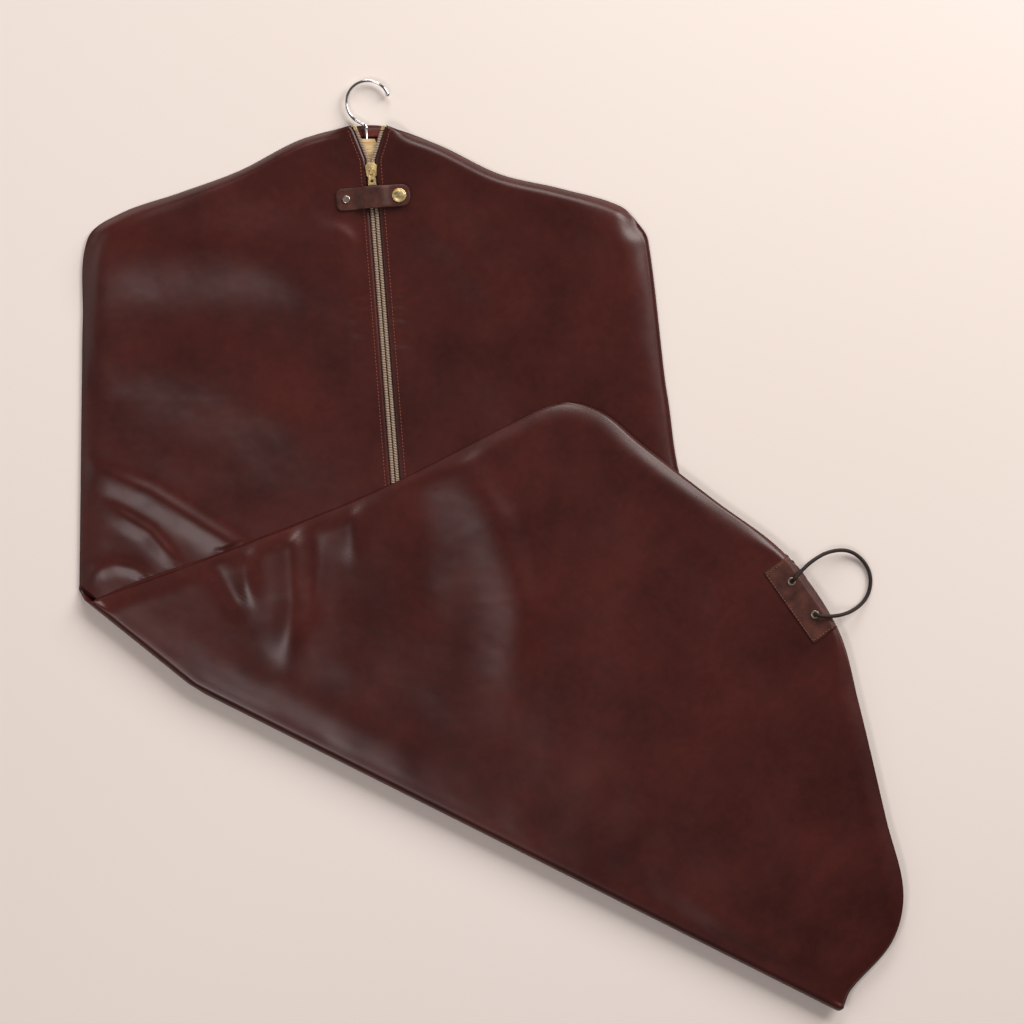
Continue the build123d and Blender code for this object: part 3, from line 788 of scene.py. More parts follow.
@dataclass
class BackSkin:
    """The back of the bag: one sheet from the collar, round the fold and on to the hem."""

    leather_mm: float = 1.3
    columns: int = 200
    upper_rows: int = 40
    bend_rows: int = 12
    flap_rows: int = 118
    drop_mm: float = 5.2
    edge_mm: float = 20.0
    patch_edge_mm: float = 7.0
    patch_reach_mm: float = 46.0
    patch_fade_mm: float = 60.0
    calm_edge_mm: float = 16.0
    calm_fold_mm: float = 14.0
    blend_mm: tuple[float, float] = (2.4, 9.6)
    flange_mm: float = 1.5
    waves: tuple[tuple[float, float, float], ...] = ((150, 1.2, 3.0), (38, 0.16, 9.0))  # size, height, seed

    def edges(self) -> None:
        """Finds the four edges of each half."""
        up, low = LINES.upper, LINES.lower
        fold_left, fold_right = LINES.fold_ends(up)
        left_low = LINES.before(up, fold_left)
        corner_left = max(up, key=lambda p: p.y - p.x)
        corner_right = max(up, key=lambda p: p.y + p.x)
        self.up_left = curve_between(up, corner_left, left_low, before=True)
        self.up_low = resample([left_low, fold_left, fold_right], False)
        self.up_right = curve_between(up, fold_right, corner_right, after=True)[::-1]
        self.up_high = curve_between(up, corner_right, corner_left, True, True)[::-1]
        fold_left, fold_right = LINES.fold_ends(low)
        left_low = LINES.before(low, fold_left)
        hem_left = max(low, key=lambda p: p.y)
        hem_right = max(low, key=lambda p: p.x)
        self.low_low = resample([left_low, fold_left, fold_right], False)
        self.low_right = curve_between(low, fold_right, hem_right, after=True)
        self.low_high = curve_between(low, hem_right, hem_left, True, True)[::-1]
        self.low_left = curve_between(low, hem_left, left_low, before=True)[::-1]

    def flap_height(self, plan: np.ndarray) -> np.ndarray:
        """The height of the folded half's upper face.

        Args:
            plan: Plan positions.

        Returns:
            Heights: level over the bag, and falling to the seam at its free edges.
        """
        to_edge = np.minimum.reduce([distance_to(plan, self.low_left), distance_to(plan, self.low_high),
                                     distance_to(plan, self.low_right)])
        low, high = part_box("hem_patch_back")
        patch = np.array(((low.x + high.x) / 2, (low.y + high.y) / 2))
        off_patch = smooth((np.linalg.norm(plan - patch, axis=1) - self.patch_reach_mm * MM)
                           / (self.patch_fade_mm * MM))
        width = self.patch_edge_mm + (self.edge_mm - self.patch_edge_mm) * off_patch
        drop = self.drop_mm * MM * (1 - rise(to_edge, self.flange_mm * off_patch, width))
        calm = smooth(to_edge / (self.calm_edge_mm * MM)) * off_patch
        relief = sum((ripples(plan, *wave) for wave in self.waves), total_relief(FLAP_FOLDS, plan))
        return LINES.top - drop + relief * calm * smooth(LINES.from_fold(plan) / (self.calm_fold_mm * MM))

    def build(self) -> bpy.types.Object:
        """Makes the sheet and bends it across the fold."""
        self.edges()
        rows = self.upper_rows + self.bend_rows + self.flap_rows
        piece, u, v = grid_piece("back_skin", self.columns, rows)
        row = np.rint(v * rows)
        upper = row <= self.upper_rows
        flap = row >= self.upper_rows + self.bend_rows
        bend = ~upper & ~flap
        plan, height = np.zeros((len(u), 2)), np.zeros(len(u))
        plan[upper] = coons(u[upper], 1 - row[upper] / self.upper_rows, self.up_low, self.up_high,
                            self.up_left[::-1], self.up_right[::-1])
        share = (row[flap] - self.upper_rows - self.bend_rows) / self.flap_rows
        plan[flap] = coons(u[flap], share, self.low_low, self.low_high, self.low_left, self.low_right)
        height[flap] = self.flap_height(plan[flap])
        turn = (row[bend] - self.upper_rows) / self.bend_rows
        # Rows crowd at both ends of the half turn, beside the two flat parts.
        angle = np.where(turn < 0.5, turn * 2 * 0.22, 0.55 + (turn - 0.5) * 2 * 0.45) * math.pi
        start, end = along(self.up_low, u[bend]), along(self.low_low, u[bend])
        mix = (0.5 - 0.5 * np.cos(angle))[:, None]
        outward = -in_plan(LINES.into_bag)
        plan[bend] = start * (1 - mix) + end * mix + outward * (np.sin(angle) * LINES.radius)[:, None]
        height[bend] = LINES.radius * (1 - np.cos(angle))
        lay_sheet(piece, plan, height, self.leather_mm, Finish.HIDE, Finish.LINING)
        finish_piece(piece, None, ("back_panel_upper", "back_panel_lower", "back_lining_upper",
                                              "back_lining_lower", "fold_bend_back"))
        fold_run = (LINES.fold_ends(LINES.upper)[1] - LINES.fold_ends(LINES.upper)[0]).length
        middle = LINES.axis_point.to_2d().to_3d()
        start, end = (tuple(middle + Vector((0, 0, z * MM))) for z in self.blend_mm)
        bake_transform(piece)
        return piece


class Side(Enum):
    """The two front panels, as they lie in the upper half."""

    LEFT = "left"
    RIGHT = "right"


@dataclass
class UpperFront:
    """One front panel of the upper half, draped over the hanger and turned in at its seams."""

    side: Side
    folds: tuple[Crease, ...]
    flat: tuple[float, float]
    leather_mm: float = 1.2
    columns: int = 100
    rows: int = 200
    seam_mm: float = 2.8
    side_mm: float = 28.0
    shoulder_mm: float = 10.0
    flange_mm: float = 4.0
    collar_mm: tuple[float, float] = (20.0, 30.0)  # how far each flat place reaches, and how far it fades
    zip_mm: tuple[float, float] = (6.0, 24.0)
    strap_mm: tuple[float, float] = (18.0, 22.0)
    calm_seam_mm: float = 18.0
    calm_fold_mm: float = 12.0
    under_flap_mm: float = 0.7
    waves: tuple[tuple[float, float, float], ...] = ((150, 1.1, 5.0), (32, 0.13, 12.0))  # size, height, seed

    def edges(self, loop: list[Vector]) -> None:
        """Finds the panel's four edges, and which of them are the zip's and the seams."""
        fold_left, fold_right = LINES.fold_ends(loop)
        collar = max(loop, key=lambda p: p.y)
        if self.side is Side.LEFT:
            low_left = LINES.before(loop, fold_left)
            corner = max(loop, key=lambda p: p.y - p.x)
            self.low = resample([low_left, fold_left, fold_right], False)
            self.zip_edge = resample(run_between(loop, fold_right, collar), False)
            self.shoulder = curve_between(loop, collar, corner, after=True)[::-1]
            self.seam = curve_between(loop, corner, low_left, before=True)[::-1]
            self.left, self.right = self.seam, self.zip_edge
        else:
            corner = max(loop, key=lambda p: p.y + p.x)
            self.low = resample([fold_left, fold_right], False)
            self.seam = curve_between(loop, fold_right, corner, after=True)
            self.shoulder = curve_between(loop, corner, collar, before=True)[::-1]
            self.zip_edge = resample(run_between(loop, collar, fold_left), False)[::-1]
            self.left, self.right = self.zip_edge, self.seam

    def build(self) -> bpy.types.Object:
        """Makes the panel."""
        node = f"front_panel_{self.side.value}_upper"
        loop = face_loop(node)
        self.edges(loop)
        piece, u, v = grid_piece(f"front_skin_{self.side.value}_upper", self.columns, self.rows)
        plan = coons(u, v, self.low, self.shoulder, self.left, self.right)
        height = self.height(plan)
        meet_at_fold(plan, height, v < 0.5 / self.rows)
        lay_sheet(piece, plan, height, self.leather_mm, Finish.HIDE, Finish.LINING)
        finish_piece(piece, "bag_upper", (node, f"front_lining_{self.side.value}_upper"))
        self.piece = piece
        return piece

    def height(self, plan: np.ndarray) -> np.ndarray:
        """The height of the panel's outer face.

        Args:
            plan: Plan positions.

        Returns:
            Heights.
        """
        top = LINES.surface(plan[:, 1])
        seam_z = self.seam_mm * MM
        to_side, to_shoulder = distance_to(plan, self.seam), distance_to(plan, self.shoulder)
        collar = np.array(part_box("zip_top_stops")).mean(0)[:2]
        off_collar = clear_of(np.linalg.norm(plan - collar, axis=1), self.collar_mm)
        crown = 1 - (1 - rise(to_shoulder, self.flange_mm * 0.25, self.shoulder_mm)) * off_collar
        dome = rise(to_side, self.flange_mm * (1.0 if self.side is Side.RIGHT else 0.4), self.side_mm) * crown
        calm = smooth(np.minimum(to_side, to_shoulder) / (self.calm_seam_mm * MM))
        off_zip = clear_of(distance_to(plan, self.zip_edge), self.zip_mm)
        strap = np.array([((p.x + q.x) / 2, (p.y + q.y) / 2) for p, q in (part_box("strap_anchor"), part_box("snap_cap"))])
        off_zip = off_zip * clear_of(distance_to(plan, strap, 12), self.strap_mm)
        relief = sum((ripples(plan, *wave) for wave in self.waves), total_relief(self.folds, plan))
        relief = relief * calm * off_zip
        relief = np.where(covered_by_flap(plan), np.minimum(relief, self.under_flap_mm * MM), relief)
        relief = relief * smooth(LINES.from_fold(plan) / (self.calm_fold_mm * MM))
        return seam_z + (top - seam_z) * dome + relief + total_relief(ZIP_PUCKERS, plan)


def covered_by_flap(plan: np.ndarray, margin_mm: float = 4.0) -> np.ndarray:
    """Tells which points lie under the folded half or within a margin of it."""
    loop = np.array([(p.x, p.y) for p in LINES.lower])
    inside = np.zeros(len(plan), dtype=bool)
    for a, b in zip(loop, np.roll(loop, -1, axis=0)):
        crosses = (a[1] > plan[:, 1]) != (b[1] > plan[:, 1])
        at = a[0] + (plan[:, 1] - a[1]) * (b[0] - a[0]) / (b[1] - a[1] + 1e-12)
        inside ^= crosses & (plan[:, 0] < at)
    return inside | (distance_to(plan, np.vstack([loop, loop[:1]]), 400) < margin_mm * MM)


def meet_at_fold(plan: np.ndarray, height: np.ndarray, first_row: np.ndarray, reach_mm: float = 1.5) -> None:
    """Brings a panel's edge along the fold on to the fold's own axis, where the two halves meet.

    Args:
        plan: Plan positions, which are changed.
        height: Heights, which are changed.
        first_row: Which points are on the edge.
        reach_mm: How far from the axis a point may start.
    """
    gap = LINES.from_fold(plan)
    on_line = first_row & (np.abs(gap) < reach_mm * MM)
    plan[on_line] -= gap[on_line, None] * in_plan(LINES.into_bag)
    height[on_line] = LINES.radius


@dataclass
class LowerFront:
    """One front panel of the lower half, which faces down while the bag is folded."""

    side: Side
    flat: tuple[float, float]
    leather_mm: float = 1.2
    columns: int = 90
    rows: int = 90
    wave: tuple[float, float, float] = (90, 0.5, 21.0)  # size, height, seed
    lift_mm: float = 0.35
    calm_mm: tuple[float, float] = (4.0, 40.0)

    def build(self) -> bpy.types.Object:
        """Makes the panel."""
        node = f"front_panel_{self.side.value}_lower"
        loop = face_loop(node, -1.0)
        fold_left, fold_right = LINES.fold_ends(loop)
        hem = max(loop, key=lambda p: p.x)
        if self.side is Side.LEFT:
            left_low = LINES.before(loop, fold_left)
            zip_end = min((p for p in loop if p.x > hem.x - 60 * MM), key=lambda p: p.y)
            hem_corner = max(loop, key=lambda p: p.y)
            low = resample([left_low, fold_left, fold_right], False)
            right = resample(run_between(loop, fold_right, zip_end), False)
            high = curve_between(loop, zip_end, hem_corner, after=True)[::-1]
            left = curve_between(loop, hem_corner, left_low, before=True)[::-1]
        else:
            zip_end = max(loop, key=lambda p: p.y)
            low = resample([fold_left, fold_right], False)
            right = curve_between(loop, fold_right, hem, after=True)
            high = curve_between(loop, hem, zip_end, before=True)[::-1]
            left = resample(run_between(loop, zip_end, fold_left), False)[::-1]
        piece, u, v = grid_piece(f"front_skin_{self.side.value}_lower", self.columns, self.rows)
        plan = coons(u, v, low, high, left, right)
        height = np.full(len(plan), LINES.front_low)
        height += (ripples(plan, *self.wave) + self.lift_mm * MM) * clear_of(LINES.from_fold(plan), self.calm_mm)
        height = np.maximum(height, LINES.front_low)
        meet_at_fold(plan, height, v < 0.5 / self.rows)
        lay_sheet(piece, plan, height, self.leather_mm, Finish.HIDE, Finish.LINING, face_down=True)
        nodes = (node, f"front_lining_{self.side.value}_lower") + (
            ("fold_bend_front",) if self.side is Side.LEFT else ())
        finish_piece(piece, "bag_lower", nodes)
        return piece


# ---------------------------------------------------------------- zip, stitches and fittings

@dataclass
class Stitches:
    """A row of lock stitches that sits in the leather."""

    name: str
    body: str
    pitch_mm: float = 3.6
    length_mm: float = 2.5
    width_mm: float = 0.75

    def build(self, paths: list[np.ndarray], height_at, nodes: tuple[str, ...] = ()) -> bpy.types.Object:
        """Lays one capsule for each stitch.

        Args:
            paths: Plan paths that the rows follow.
            height_at: A function from a plan position to the surface's height.
            nodes: CAD nodes that the piece stands for.

        Returns:
            The piece.
        """
        places = []
        for path in paths:
            run = np.linalg.norm(np.diff(path, axis=0), axis=1).sum()
            ends = along(path, np.linspace(0, 1, int(run / (self.pitch_mm * MM)) + 1))
            heights = [height_at(*p) for p in ends]
            for a, b, low, high in zip(ends, ends[1:], heights, heights[1:]):
                if math.isnan(low) or math.isnan(high):
                    continue
                middle, way = (a + b) / 2, b - a
                slope = math.atan2(high - low, np.linalg.norm(way))
                places.append(Matrix.Translation((middle[0], middle[1], (low + high) / 2))
                              @ Matrix.Rotation(math.atan2(way[1], way[0]), 4, "Z") @ Matrix.Rotation(-slope, 4, "Y")
                              @ Matrix.Diagonal((self.length_mm * MM / 2, self.width_mm * MM / 2,
                                                 self.width_mm * MM / 2, 1)))
        piece = repeated(self.name, places, 6, 4)
        WARDROBE.dress(piece, Finish.THREAD)
        finish_piece(piece, self.body, nodes)
        return piece


@dataclass
class ZipChain:
    """The coil zip: woven tapes, and a coil of fine loops on each."""

    pitch_mm: float = 1.7
    loop_mm: float = 1.35
    rise_mm: float = 1.3
    lap_mm: float = 0.55
    crown_mm: float = 0.35
    lean: float = 0.10  # the loops' slant across the chain, in radians
    fold_rise_mm: float = 0.9
    fold_cloth_mm: float = 0.4

    def span(self, loop: list[Vector], origin: np.ndarray, way: np.ndarray, at: float) -> tuple[float, float] | None:
        """Cuts an outline across the chain's direction.

        Args:
            loop: The outline.
            origin: Where the distances are measured from.
            way: The chain's direction.
            at: How far along it the cut is.

        Returns:
            The cut's two ends beside the chain's line, or nothing where the outline isn't cut.
        """
        side = np.array((-way[1], way[0]))
        axes = np.column_stack([way, side])
        pts = [tuple((in_plan(p) - origin) @ axes) for p in loop]
        cuts = [q0 + (at - s0) / (s1 - s0) * (q1 - q0) for (s0, q0), (s1, q1) in zip(pts, pts[1:] + pts[:1])
                if (s0 - at) * (s1 - at) < 0]
        return (min(cuts), max(cuts)) if len(cuts) > 1 else None

    def coil(self, name: str, node: str, body: str, way: np.ndarray, top_at, shift: float, up: float,
             nodes: tuple[str, ...]) -> bpy.types.Object:
        """Sets the loops of one half of the coil along its CAD strip.

        Args:
            name: The piece's name.
            node: The CAD strip.
            body: The body that it rides on.
            way: The chain's direction in plan.
            top_at: A function from a plan position to the height of the loops' crowns.
            shift: The share of a pitch by which this half is set off from the other.
            up: 1 where the front faces up, -1 where it faces down.
            nodes: The CAD nodes that it stands for.

        Returns:
            The piece.
        """
        loop = face_loop(node)
        origin, side = in_plan(LINES.zip_place), np.array((-way[1], way[0]))
        s = [float((in_plan(p) - origin) @ way) for p in loop]
        places = []
        count = int((max(s) - min(s)) / (self.pitch_mm * MM))
        for i in range(count):
            at = min(s) + (i + 0.5 + shift) * self.pitch_mm * MM
            cut = self.span(loop, origin, way, at)
            if cut is None or cut[1] - cut[0] < 1 * MM:
                continue
            inner = self.lap_mm * MM * (1 if abs(cut[1]) < abs(cut[0]) else -1)
            cut = (cut[0], cut[1] + inner) if inner > 0 else (cut[0] + inner, cut[1])
            middle = origin + way * at + side * (cut[0] + cut[1]) / 2
            z = top_at(*middle) - up * self.rise_mm * MM / 2
            tilt = Matrix.Rotation(-math.atan(LINES.slope) if middle[1] > LINES.kink else 0.0, 4, "X")
            turn = Matrix.Rotation(math.atan2(side[1], side[0]) + (self.lean if shift else -self.lean), 4, "Z")
            size = Matrix.Diagonal(((cut[1] - cut[0]) / 2 * 1.02, self.loop_mm * MM / 2, self.rise_mm * MM / 2, 1))
            places.append(Matrix.Translation((middle[0], middle[1], z)) @ tilt @ turn @ size)
        piece = repeated(name, places)
        WARDROBE.dress(piece, Finish.COIL)
        finish_piece(piece, body, nodes)
        return piece

    def tape(self, node: str, body: str) -> bpy.types.Object:
        """Dresses one strip of tape, with its cut edges softened."""
        piece = softened(node, node.replace("zip_tape", "woven_tape"), 0.1, 1)
        # The tape colour is partly painted shade, for the recess beside the coil.
        WARDROBE.dress(piece, Finish.TAPE)
        finish_piece(piece, body, (node,))
        return piece

    def build(self) -> None:
        """Makes the tapes and the coils of both halves."""
        low_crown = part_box("zip_teeth_left_lower")[0].z
        upper_way = np.array(LINES.zip_down.to_2d().normalized())
        fold_turn = 2 * in_plan(LINES.axis) * (upper_way @ in_plan(LINES.axis)) - upper_way
        for side, shift in (("left", 0.0), ("right", 0.5)):
            self.tape(f"zip_tape_{side}_upper", "bag_upper")
            self.tape(f"zip_tape_{side}_lower", "bag_lower")
            self.coil(f"coil_{side}_upper", f"zip_teeth_{side}_upper", "bag_upper", upper_way,
                      lambda x, y: float(LINES.surface(np.array([y]))[0]) + self.crown_mm * MM, shift, 1.0,
                      (f"zip_teeth_{side}_upper",))
            self.coil(f"coil_{side}_lower", f"zip_teeth_{side}_lower", "bag_lower", fold_turn,
                      lambda x, y: low_crown, shift, -1.0, (f"zip_teeth_{side}_lower",))
        self.fold_strip()

    def fold_strip(self, half_width_mm: float = 4.4, reach_mm: float = 3.0) -> bpy.types.Object:
        """Bends a strip of the chain across the fold."""
        low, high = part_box("fold_bend_zip")
        middle = LINES.axis_point + LINES.axis * ((low + high) / 2 - LINES.axis_point).dot(LINES.axis)
        piece, u, v = grid_piece("coil_at_fold", 6, 12)
        turn = (v - 0.5) * 2
        out = np.abs(turn) * reach_mm * MM
        height = LINES.radius + np.sign(turn) * np.where(np.abs(turn) > 0.05, self.fold_rise_mm, 0.0) * MM
        line, into = in_plan(LINES.axis), in_plan(LINES.into_bag)
        plan = in_plan(middle) + ((u - 0.5) * 2 * half_width_mm * MM)[:, None] * line + out[:, None] * into
        lay_sheet(piece, plan, height, self.fold_cloth_mm, Finish.COIL)
        finish_piece(piece, None, ("fold_bend_zip",))
        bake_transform(piece)
        return piece


class Hardware:
    """The metal fittings, the hanger and the hook: CAD pieces with their edges broken."""

    def piece(self, node: str, name: str, body: str, slot: str, finish: Finish, bevel_mm: float) -> bpy.types.Object:
        """Makes one softened, dressed copy."""
        piece = softened(node, name, bevel_mm)
        WARDROBE.dress(piece, finish)
        finish_piece(piece, body, (node,))
        return piece

    def build(self) -> None:
        """Makes every fitting."""
        for node, name, body, slot, finish, bevel in (
                ("slider_body", "slider_shell", "zip_slider", "brass", Finish.BRASS, 0.35),
                ("pull_tab", "slider_pull", "zip_pull", "brass", Finish.BRASS, 0.3),
                ("zip_top_stops", "top_stops", "bag_upper", "brass", Finish.BRASS, 0.25),
                ("zip_bottom_stop", "bottom_stop", "bag_lower", "brass", Finish.BRASS, 0.25),
                ("snap_socket", "snap_ring", "strap", "brass", Finish.BRASS, 0.2),
                ("snap_stud", "snap_post", "bag_upper", "brass", Finish.BRASS, 0.3),
                ("snap_stud_backing", "snap_back", "bag_upper", "brass", Finish.BRASS, 0.2),
                ("strap_rivet", "rivet_cap", "bag_upper", "nickel", Finish.NICKEL, 0.4),
                ("strap_rivet_burr", "rivet_burr", "bag_upper", "nickel", Finish.NICKEL, 0.2),
                ("eyelets", "rolled_eyelets", "bag_lower", "nickel", Finish.NICKEL, 0.3),
                ("eyelet_washers", "eyelet_backs", "bag_lower", "nickel", Finish.NICKEL, 0.15),
                ("hanger_hook", "hook_wire", "hook", "chrome", Finish.CHROME, 0.0),
                ("hook_tip", "hook_knob", "hook", "chrome", Finish.CHROME, 0.0),
                ("hanger_body", "hanger_arms", "bag_upper", "wood", Finish.BEECH, 1.6),
                ("cord_knots", "stopper_knots", "bag_lower", "cord", Finish.CORD, 0.8)):
            self.piece(node, name, body, slot, finish, bevel)
        self.cap()
        self.facing()

    def cap(self, steps: int = 48) -> bpy.types.Object:
        """Spins the snap's domed cap with its rolled rim."""
        low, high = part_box("snap_cap")
        radius, tall = (high.x - low.x) / 2, high.z - low.z
        middle = (low + high) / 2
        outline = [(0.0, 1.0), (0.35, 0.985), (0.62, 0.93), (0.78, 0.84), (0.84, 0.80), (0.90, 0.84), (0.965, 0.80),
                   (1.0, 0.66), (1.0, 0.50), (0.95, 0.36), (0.80, 0.30), (0.5, 0.28), (0.3, 0.0), (0.0, 0.0)]
        bm = bmesh.new()
        verts = [bm.verts.new((middle.x + r * radius, middle.y, low.z + z * tall)) for r, z in outline]
        edges = [bm.edges.new(pair) for pair in zip(verts, verts[1:])]
        bmesh.ops.spin(bm, geom=verts + edges, cent=(middle.x, middle.y, 0), axis=(0, 0, 1), angle=2 * math.pi,
                       steps=steps, use_merge=True)
        bmesh.ops.remove_doubles(bm, verts=bm.verts, dist=1e-6)
        bmesh.ops.recalc_face_normals(bm, faces=bm.faces)
        piece = new_piece("snap_dome", bm)
        WARDROBE.dress(piece, Finish.BRASS)
        finish_piece(piece, "strap", ("snap_cap",))
        return piece

    def facing(self) -> bpy.types.Object:
        """Makes the suede facing inside the back of the collar."""
        low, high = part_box("neck_facing")
        piece, u, v = grid_piece("suede_neck_facing", 24, 8)
        plan = np.column_stack([low.x + u * (high.x - low.x), low.y + v * (high.y - low.y)])
        height = high.z - 0.1 * MM + 0.5 * MM * np.sin(u * 9) * v
        lay_sheet(piece, plan, height, 0.7, Finish.SUEDE)
        finish_piece(piece, "bag_upper", ("neck_facing",))
        return piece


@dataclass
class SnapStrap:
    """The strap across the zip: riveted at one end, snapped at the other, arched between."""

    thickness_mm: float = 2.0
    columns: int = 90
    rows: int = 26
    left_round: float = 0.30  # each end's rounding, as a share of the width
    right_round: float = 0.42
    probe_share: float = 0.985  # how far out the CAD strap's height is read
    smoothing: int = 10
    edge_drop_mm: float = 0.5
    edge_mm: float = 1.2
    hinge_mm: float = 3.5

    def build(self) -> bpy.types.Object:
        """Lays a rounded strip over the CAD strap's upper face."""
        hinge = JOINTS["strap_lift"]
        across = Vector(hinge["axis"]).to_2d().normalized()
        length_way = np.array((-across.y, across.x))
        if length_way[0] < 0:
            length_way = -length_way
        width_way = np.array((-length_way[1], length_way[0]))
        corners = [NODES[n].matrix_world @ v.co for n in ("strap_anchor", "snap_strap") for v in NODES[n].data.vertices]
        flat = np.array([(p.x, p.y) for p in corners])
        s, t = flat @ length_way, flat @ width_way
        piece, u, v = grid_piece("snap_strap_leather", self.columns, self.rows)
        long, wide = s.max() - s.min(), t.max() - t.min()
        a, b = u * long, (v - 0.5) * wide
        for near, radius in ((a, self.left_round * wide), (long - a, self.right_round * wide)):
            inside = np.clip((radius - near) / radius, 0, 1)
            limit = wide / 2 - radius * (1 - np.sqrt(np.clip(1 - inside ** 2, 0, 1)))
            b = b * limit / (wide / 2)
        plan = (s.min() + a)[:, None] * length_way + ((t.min() + t.max()) / 2 + b)[:, None] * width_way
        tops = []
        for x, y in plan * self.probe_share + (1 - self.probe_share) * plan.mean(0):
            hits = [drop_seen(NODES[n], x, y) for n in ("strap_anchor", "snap_strap")]
            tops.append(np.nanmax(hits) if not all(map(math.isnan, hits)) else math.nan)
        top = np.array(tops)
        grid = np.where(np.isnan(top), np.nanmedian(top), top)
        order = np.lexsort((v, np.rint(u * self.columns)))
        table = grid[order].reshape(self.columns + 1, self.rows + 1)
        table = np.nanmedian(table, axis=1)[:, None] * np.ones((1, self.rows + 1))
        for _ in range(self.smoothing):
            table[1:-1] = (table[:-2] + 2 * table[1:-1] + table[2:]) / 4
        height = np.empty(len(plan))
        height[order] = table.ravel()
        middle_y = plan[:, 1].mean()
        height += (plan[:, 1] - middle_y) * LINES.slope
        edge = np.minimum(np.minimum(a, long - a), wide / 2 - np.abs(b))
        height -= self.edge_drop_mm * MM * np.exp(-(edge / (self.edge_mm * MM)) ** 2)
        lay_sheet(piece, plan, height, self.thickness_mm, Finish.TRIM)
        finish_piece(piece, None, ("strap_anchor", "snap_strap"))
        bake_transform(piece)
        return piece


@dataclass
class HemPatch:
    """The patch folded over the middle of the hem, which holds the two eyelets."""

    inset_mm: float = 3.0
    leather_mm: float = 1.1
    cells: int = 36
    wave: tuple[float, float, float] = (25, 0.12, 30.0)  # size, height, seed
    roll_mm: tuple[float, float] = (5.0, 1.2)  # how wide and how deep it rolls over the hem
    proud_mm: float = 0.02
    past_mm: float = 1.5

    def sheet(self, node: str, name: str, up: bool) -> np.ndarray:
        """Makes one side of the patch.

        Args:
            node: The CAD plate.
            name: The piece's name.
            up: Whether it shows on the upper side.

        Returns:
            The four corners of its outline.
        """
        loop = face_loop(node)
        low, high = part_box(node)
        c = np.array([in_plan(pick(loop, key=lambda p: p[axis]))
                      for pick, axis in ((max, 1), (min, 0), (min, 1), (max, 0))])
        piece, u, v = grid_piece(name, self.cells, self.cells)
        a, b = u[:, None], v[:, None]
        plan = (1 - a) * (1 - b) * c[1] + a * (1 - b) * c[2] + a * b * c[3] + (1 - a) * b * c[0]
        edge = np.minimum.reduce([u, 1 - u]) * np.linalg.norm(c[2] - c[1])
        near = np.minimum(edge, v * np.linalg.norm(c[0] - c[1]))
        roll = smooth(1 - (1 - v) * np.linalg.norm(c[0] - c[1]) / (self.roll_mm[0] * MM))
        soft = 0.35 * MM * np.exp(-(near / (1.0 * MM)) ** 2) + 0.12 * MM * np.exp(-((near - 3 * MM) / (0.8 * MM)) ** 2)
        wave = ripples(plan, *self.wave)
        if up:
            height = high.z - soft + wave - roll * self.roll_mm[1] * MM
        else:
            height = low.z + soft + np.abs(wave)
        lay_sheet(piece, plan, height, self.leather_mm, Finish.TRIM, face_down=not up)
        finish_piece(piece, "bag_lower", (node,))
        return c

    def build(self) -> None:
        """Makes both sides and the stitches on three sides of each."""
        for node, name, up in (("hem_patch_back", "patch_back", True), ("hem_patch_front", "patch_front", False)):
            c = self.sheet(node, name, up)
            low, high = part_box(node)
            inner = c.mean(0) + (c - c.mean(0)) * (1 - 2 * self.inset_mm * MM / np.linalg.norm(c[2] - c[1]))
            for end, start in ((0, 1), (3, 2)):
                inner[end] += (c[end] - c[start]) / np.linalg.norm(c[end] - c[start]) * self.past_mm * MM
            paths = [resample([Vector((*p, 0)), Vector((*q, 0))], False) for p, q in zip(inner, inner[1:])]
            z = high.z + self.proud_mm * MM if up else low.z - self.proud_mm * MM
            Stitches(f"{name}_stitches", "bag_lower", pitch_mm=3.4, length_mm=2.3).build(paths, lambda x, y, z=z: z)


@dataclass
class HangingCord:
    """The round cord that loops out of the two eyelets."""

    diameter_mm: float = 4.0
    length_mm: float = 234.0
    knot_mm: float = 3.9
    start_z: float = 0.0050
    bend_z: float = 0.0245
    route: tuple[tuple[float, float, float], ...] = (
        (0.0070, 0.0085, 0.0234), (0.0200, 0.0210, 0.0196), (0.0390, 0.0315, 0.0125), (0.0610, 0.0330, 0.0056),
        (0.0780, 0.0205, 0.0023), (0.0850, 0.0025, 0.0023), (0.0805, -0.0175, 0.0023), (0.0665, -0.0300, 0.0085),
        (0.0500, -0.0355, 0.0184), (0.0340, -0.0363, 0.0229))

    def build(self) -> bpy.types.Object:
        """Runs the cord up out of one eyelet, round, and down into the other."""
        low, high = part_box("cord_knots")
        knot = self.knot_mm * MM
        first = Vector((low.x + knot, high.y - knot, 0))
        last = Vector((high.x - knot, low.y + knot, 0))
        points = [first + Vector((0, 0, self.start_z)), first + Vector((0, 0, self.bend_z))]
        points += [Vector((first.x + x, first.y + y, z)) for x, y, z in self.route]
        points += [last + Vector((0, 0, self.bend_z)), last + Vector((0, 0, self.start_z))]
        curve = bpy.data.curves.new("round_cord", "CURVE")
        curve.dimensions = "3D"
        curve.bevel_depth = self.diameter_mm * MM / 2
        curve.bevel_resolution = 5
        curve.resolution_u = 12
        curve.use_fill_caps = True
        spline = curve.splines.new("NURBS")
        spline.points.add(len(points) - 1)
        for point, place in zip(spline.points, points):
            point.co = (*place, 1.0)
        spline.order_u = 3
        spline.use_endpoint_u = True
        piece = bpy.data.objects.new("round_cord", curve)
        bpy.context.scene.collection.objects.link(piece)
        curve.materials.append(WARDROBE.get(Finish.CORD))
        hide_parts("cord_loop")
        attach(piece, "bag_lower")
        log.info("cord of %.0f mm between eyelets %.1f mm apart", self.length_mm, (last - first).length / MM)
        return piece


# ---------------------------------------------------------------- studio

